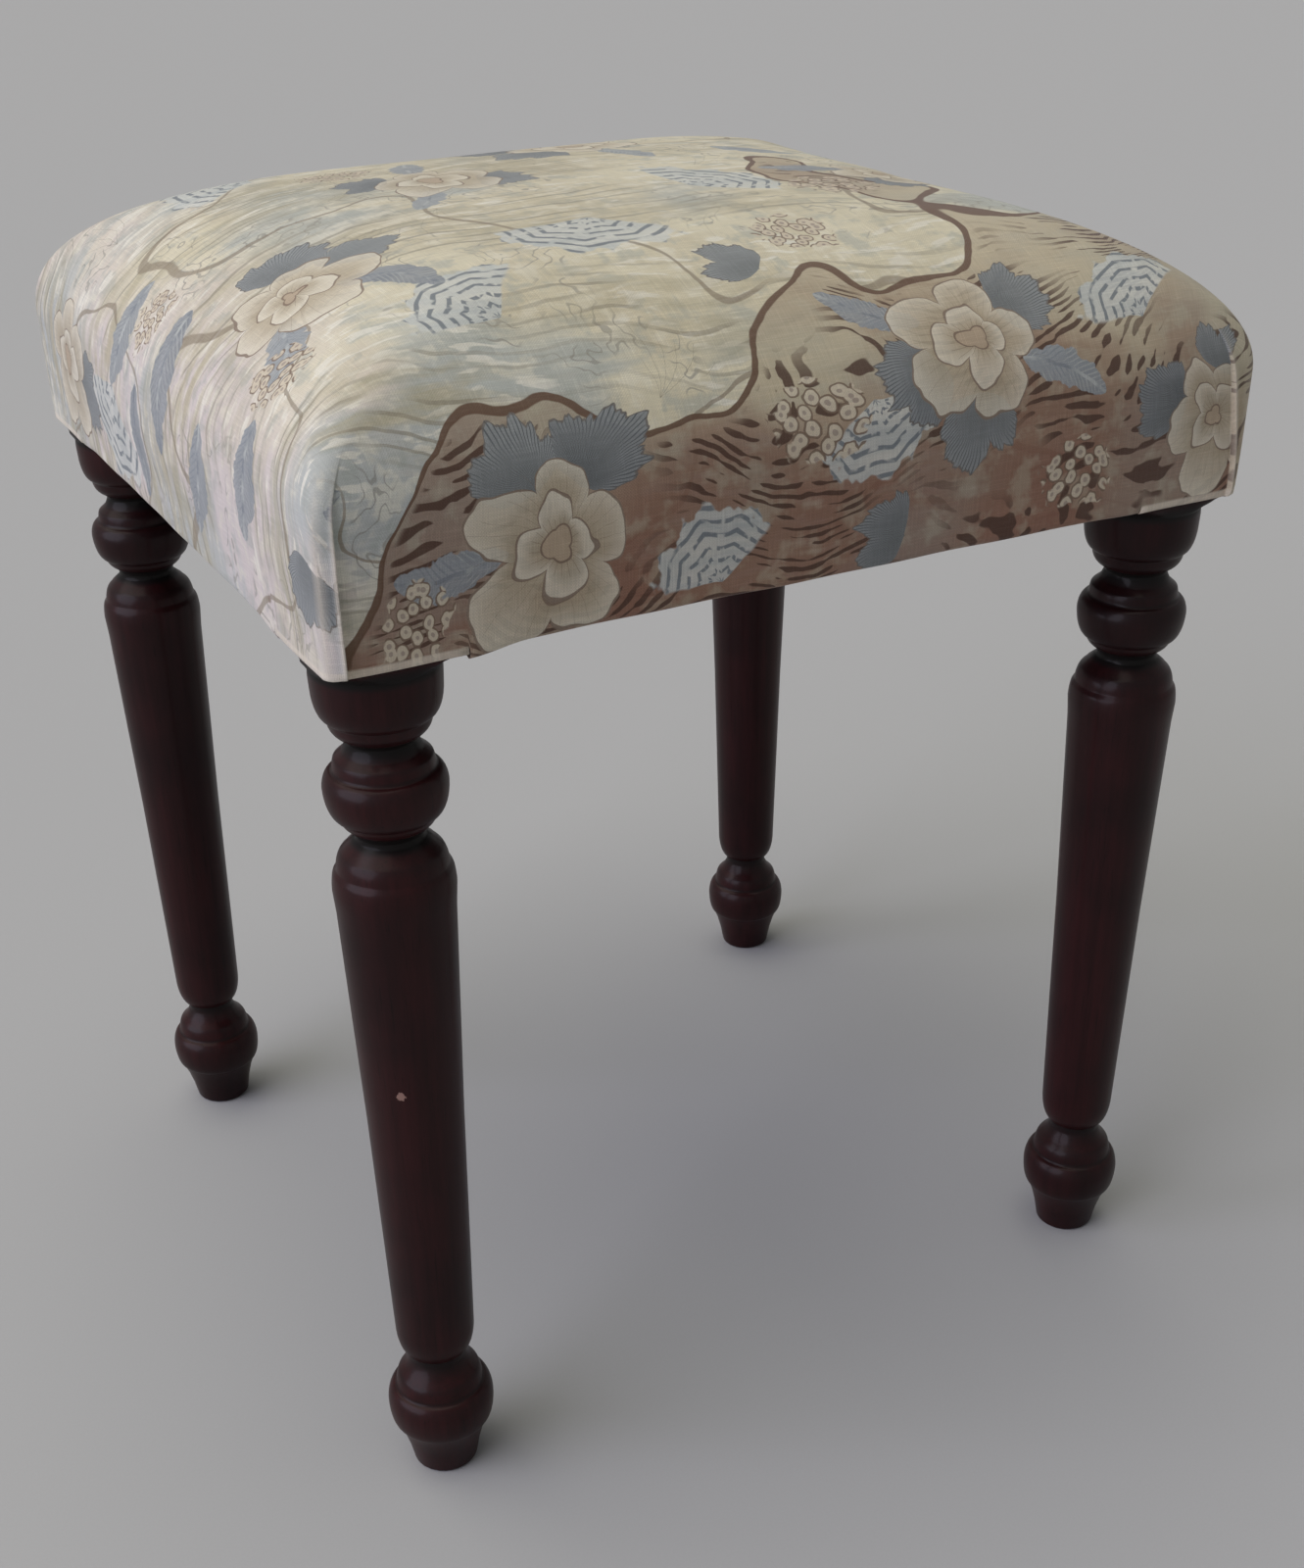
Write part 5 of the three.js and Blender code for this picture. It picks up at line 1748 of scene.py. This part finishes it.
def webbing(direction, index):
    """One strip along x (0) or y (1), over and under the three that cross it."""
    half, rail_in = WEB_HALF[direction], RAIL_IN[direction]
    marks, rises = [-half, -rail_in], [0, 0]
    for crossing in (-1, 0, 1):
        up = -1 if (crossing + index + direction) % 2 else 1
        marks += [crossing * WEB_SPACING[direction] + end * WEB_FLAT for end in (-1, 1)]
        rises += [up * WEB_STEP] * 2
    marks, rises = marks + [rail_in, half], rises + [0, 0]
    along = steps_between(-half, half, WEB_CELL[0])
    across = steps_between(-WEB_WIDTH / 2, WEB_WIDTH / 2, WEB_CELL[1])
    across = across + index * WEB_SPACING[1 - direction]

    def height(gx, gy):
        run = (gx, gy)[direction]
        return WEB_MIDDLE + WEB_THICKNESS / 2 + np.interp(run, marks, rises)

    grids = (along, across) if direction == 0 else (across, along)
    name = f"{WEB_WAYS[direction]}_{index + 2}"
    lay(f"web_{name}", slab(*grids, height, WEB_THICKNESS), webbing_finish, "webbing",
        f"webbing_{name}", flat=(WEB_WIDTH, 2 * half), rests_on=WEB_RAILS[direction])


for direction in (0, 1):
    for index in (-1, 0, 1):
        webbing(direction, index)

# %% Hessian
HESSIAN_TOP = 439.75 * MM
HESSIAN_THICKNESS = 0.8 * MM
HESSIAN_CELL = 6 * MM
HESSIAN_RIPPLE = 0.1 * MM
HESSIAN_WAVES = (70, 75)


def hessian_height(gx, gy):
    """The top of the hessian, which is nearly flat over the webbing."""
    wave = np.sin(gx * HESSIAN_WAVES[0]) * np.sin(gy * HESSIAN_WAVES[1])
    return HESSIAN_TOP - HESSIAN_RIPPLE * (1 + wave)


grids = (steps_between(-half, half, HESSIAN_CELL) for half in WEB_HALF)
lay("hessian_cloth", slab(*grids, hessian_height, HESSIAN_THICKNESS), hessian_finish,
    "hessian", "hessian", flat=(2 * WEB_HALF[0], 2 * WEB_HALF[1]),
    rests_on=[f"web_{way}_{i}" for way in WEB_WAYS for i in (1, 2, 3)])

# %% The dust cover
DUST_TOP = 383.7 * MM
DUST_THICKNESS = 0.8 * MM
DUST_OUT = (190.8 * MM, 180.3 * MM)
DUST_NOTCH = (145 * MM, 134.5 * MM)
DUST_CELL = 6 * MM
DUST_SAG = 2.2 * MM
DUST_TIGHT = 25 * MM
DUST_SLOPE = 90 * MM
DUST_RIPPLES = ((31, 9, 0.4), (-14, 43, 0.25))


def notched_steps(out, notch):
    """Grid lines across the dust cover, with one at each notch."""
    inner = steps_between(-notch, notch, DUST_CELL)
    outer = steps_between(notch, out, DUST_CELL)[1:]
    return np.concatenate([-outer[::-1], inner, outer])


def dust_height(gx, gy):
    """The top of the dust cover: tacked flat at its edge, hanging a little in the middle."""
    edge = np.minimum(DUST_OUT[0] - np.abs(gx), DUST_OUT[1] - np.abs(gy))
    notch_gap = np.maximum(DUST_NOTCH[0] - np.abs(gx), DUST_NOTCH[1] - np.abs(gy))
    loose = smooth(np.minimum(edge - DUST_TIGHT, notch_gap), 0, DUST_SLOPE)
    ripple = sum(np.sin(gx * a + gy * b) * height for a, b, height in DUST_RIPPLES)
    return DUST_TOP - loose * (DUST_SAG + ripple * MM)


def in_dust_cover(x, y):
    return abs(x) < DUST_NOTCH[0] or abs(y) < DUST_NOTCH[1]


dust_shape = slab(
    *map(notched_steps, DUST_OUT, DUST_NOTCH), dust_height, DUST_THICKNESS, in_dust_cover)
notch_area = 4 * (DUST_OUT[0] - DUST_NOTCH[0]) * (DUST_OUT[1] - DUST_NOTCH[1])
lay("dust_cloth", dust_shape, black_cloth, "black_cloth", "dust_cover",
    flat=(2 * DUST_OUT[0], 2 * DUST_OUT[1]),
    area=4 * DUST_OUT[0] * DUST_OUT[1] - notch_area, rests_on=["seat_cover_printed"])

# %% [markdown]
# ## Rails, dowels, braces, screws and tacks
#
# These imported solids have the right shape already, so they keep it and only get their finish.
# Rails, braces and dowels are plain beech with saw marks across the grain, and screws and tacks
# are bright or blued steel. They could be modelled again with rounded edges, but nobody sees
# them inside the seat. Each finish reads the place in space, so the grain needs a finish of its
# own for pieces along X and for pieces along Y.

# %% Sawn wood and metal
def sawn_wood(name, axis):
    """Pale beech whose grain runs along x (0) or y (1)."""
    finish = Finish(name, Roughness=0.7)
    at = split(finish.at())
    turned_place = join(at[(axis + 1) % 3], at[(axis + 2) % 3], at[axis])
    grain_here = grain.place(Place=turned_place, Along=8.0, Across=150.0)
    flecks = noise(vector_calc("MULTIPLY", turned_place, (900.0, 900.0, 120.0)), 1.0, 2.0)
    age = noise(finish.at(), 9.0, 3.0, 0.6)
    colour = Coats("a8794c").add(grain_here["Figure"], "d9b488")
    colour.add(step_up(flecks, 0.62, 0.75) * 0.6, "8a5c34")
    colour.add(step_up(age, 0.5, 0.8) * 0.4, "8f6a48")
    finish.set("Base Color", colour.colour)
    finish.set("Roughness", 0.62 + age * 0.25)
    saw = noise(join(0.0, 0.0, at[axis]), 700.0, 2.0, 0.7)
    finish.relief(grain_here["Figure"] * 0.5 + saw * 0.6 - grain_here["Pores"] * 0.3, 0.25 * MM)
    return finish


def metal(name, light, dark, roughness):
    finish = Finish(name, Metallic=1.0)
    place = finish.at()
    tarnish = noise(place, 420.0, 4.0, 0.65)
    scratch = noise(vector_calc("MULTIPLY", place, (2600.0, 500.0, 2600.0)), 1.0, 2.0)
    finish.set("Base Color", blend(step_up(tarnish, 0.35, 0.7), light, dark))
    finish.set("Roughness", roughness + tarnish * 0.3 + scratch * 0.08)
    finish.relief(tarnish * 0.5 + scratch * 0.5, 0.03 * MM)
    return finish


print("sawn wood and metal ready")

# %% Finishes for the joinery
beech = [sawn_wood(f"beech_along_{way}", axis) for axis, way in enumerate("xy")]
bright_steel = metal("bright_steel", "b9b6ae", "7f7a72", 0.28)
blued_steel = metal("blued_steel", "2c3038", "17181c", 0.35)


def finish_for(node):
    """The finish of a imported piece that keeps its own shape, by its name."""
    if node.startswith("tack"):
        return blued_steel
    if node.startswith("brace_screw"):
        return bright_steel
    if node.startswith("dowel"):
        return beech[0 if node.split("rail_")[1].startswith(("front", "back")) else 1]
    if node.startswith("brace"):
        return beech[0]
    return beech[0 if node.split("_")[1] in ("front", "back") else 1]


JOINERY = ("tack", "brace", "dowel", "rail")
dressed = [node for node in nodes if node.startswith(JOINERY)]
for node in dressed:
    packed = bpy.data.objects[node]
    for slot in packed.material_slots:
        slot.material = finish_for(node).material
print(len(dressed), "packed pieces keep their shape and get a finish")

# %% [markdown]
# ## The size of the dressed stool
#
# The dressed stool must be as large as the imported one: only cloth may stand a little proud.

# %% Print both sizes
visual_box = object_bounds()
boxes = {
    name: [[float(v) for v in corner] for corner in box]
    for name, box in (("cad", cad_box), ("visual", visual_box))
}
for name, (low, high) in boxes.items():
    print(name, [round((h - l) * 1000, 1) for l, h in zip(low, high)], "mm")
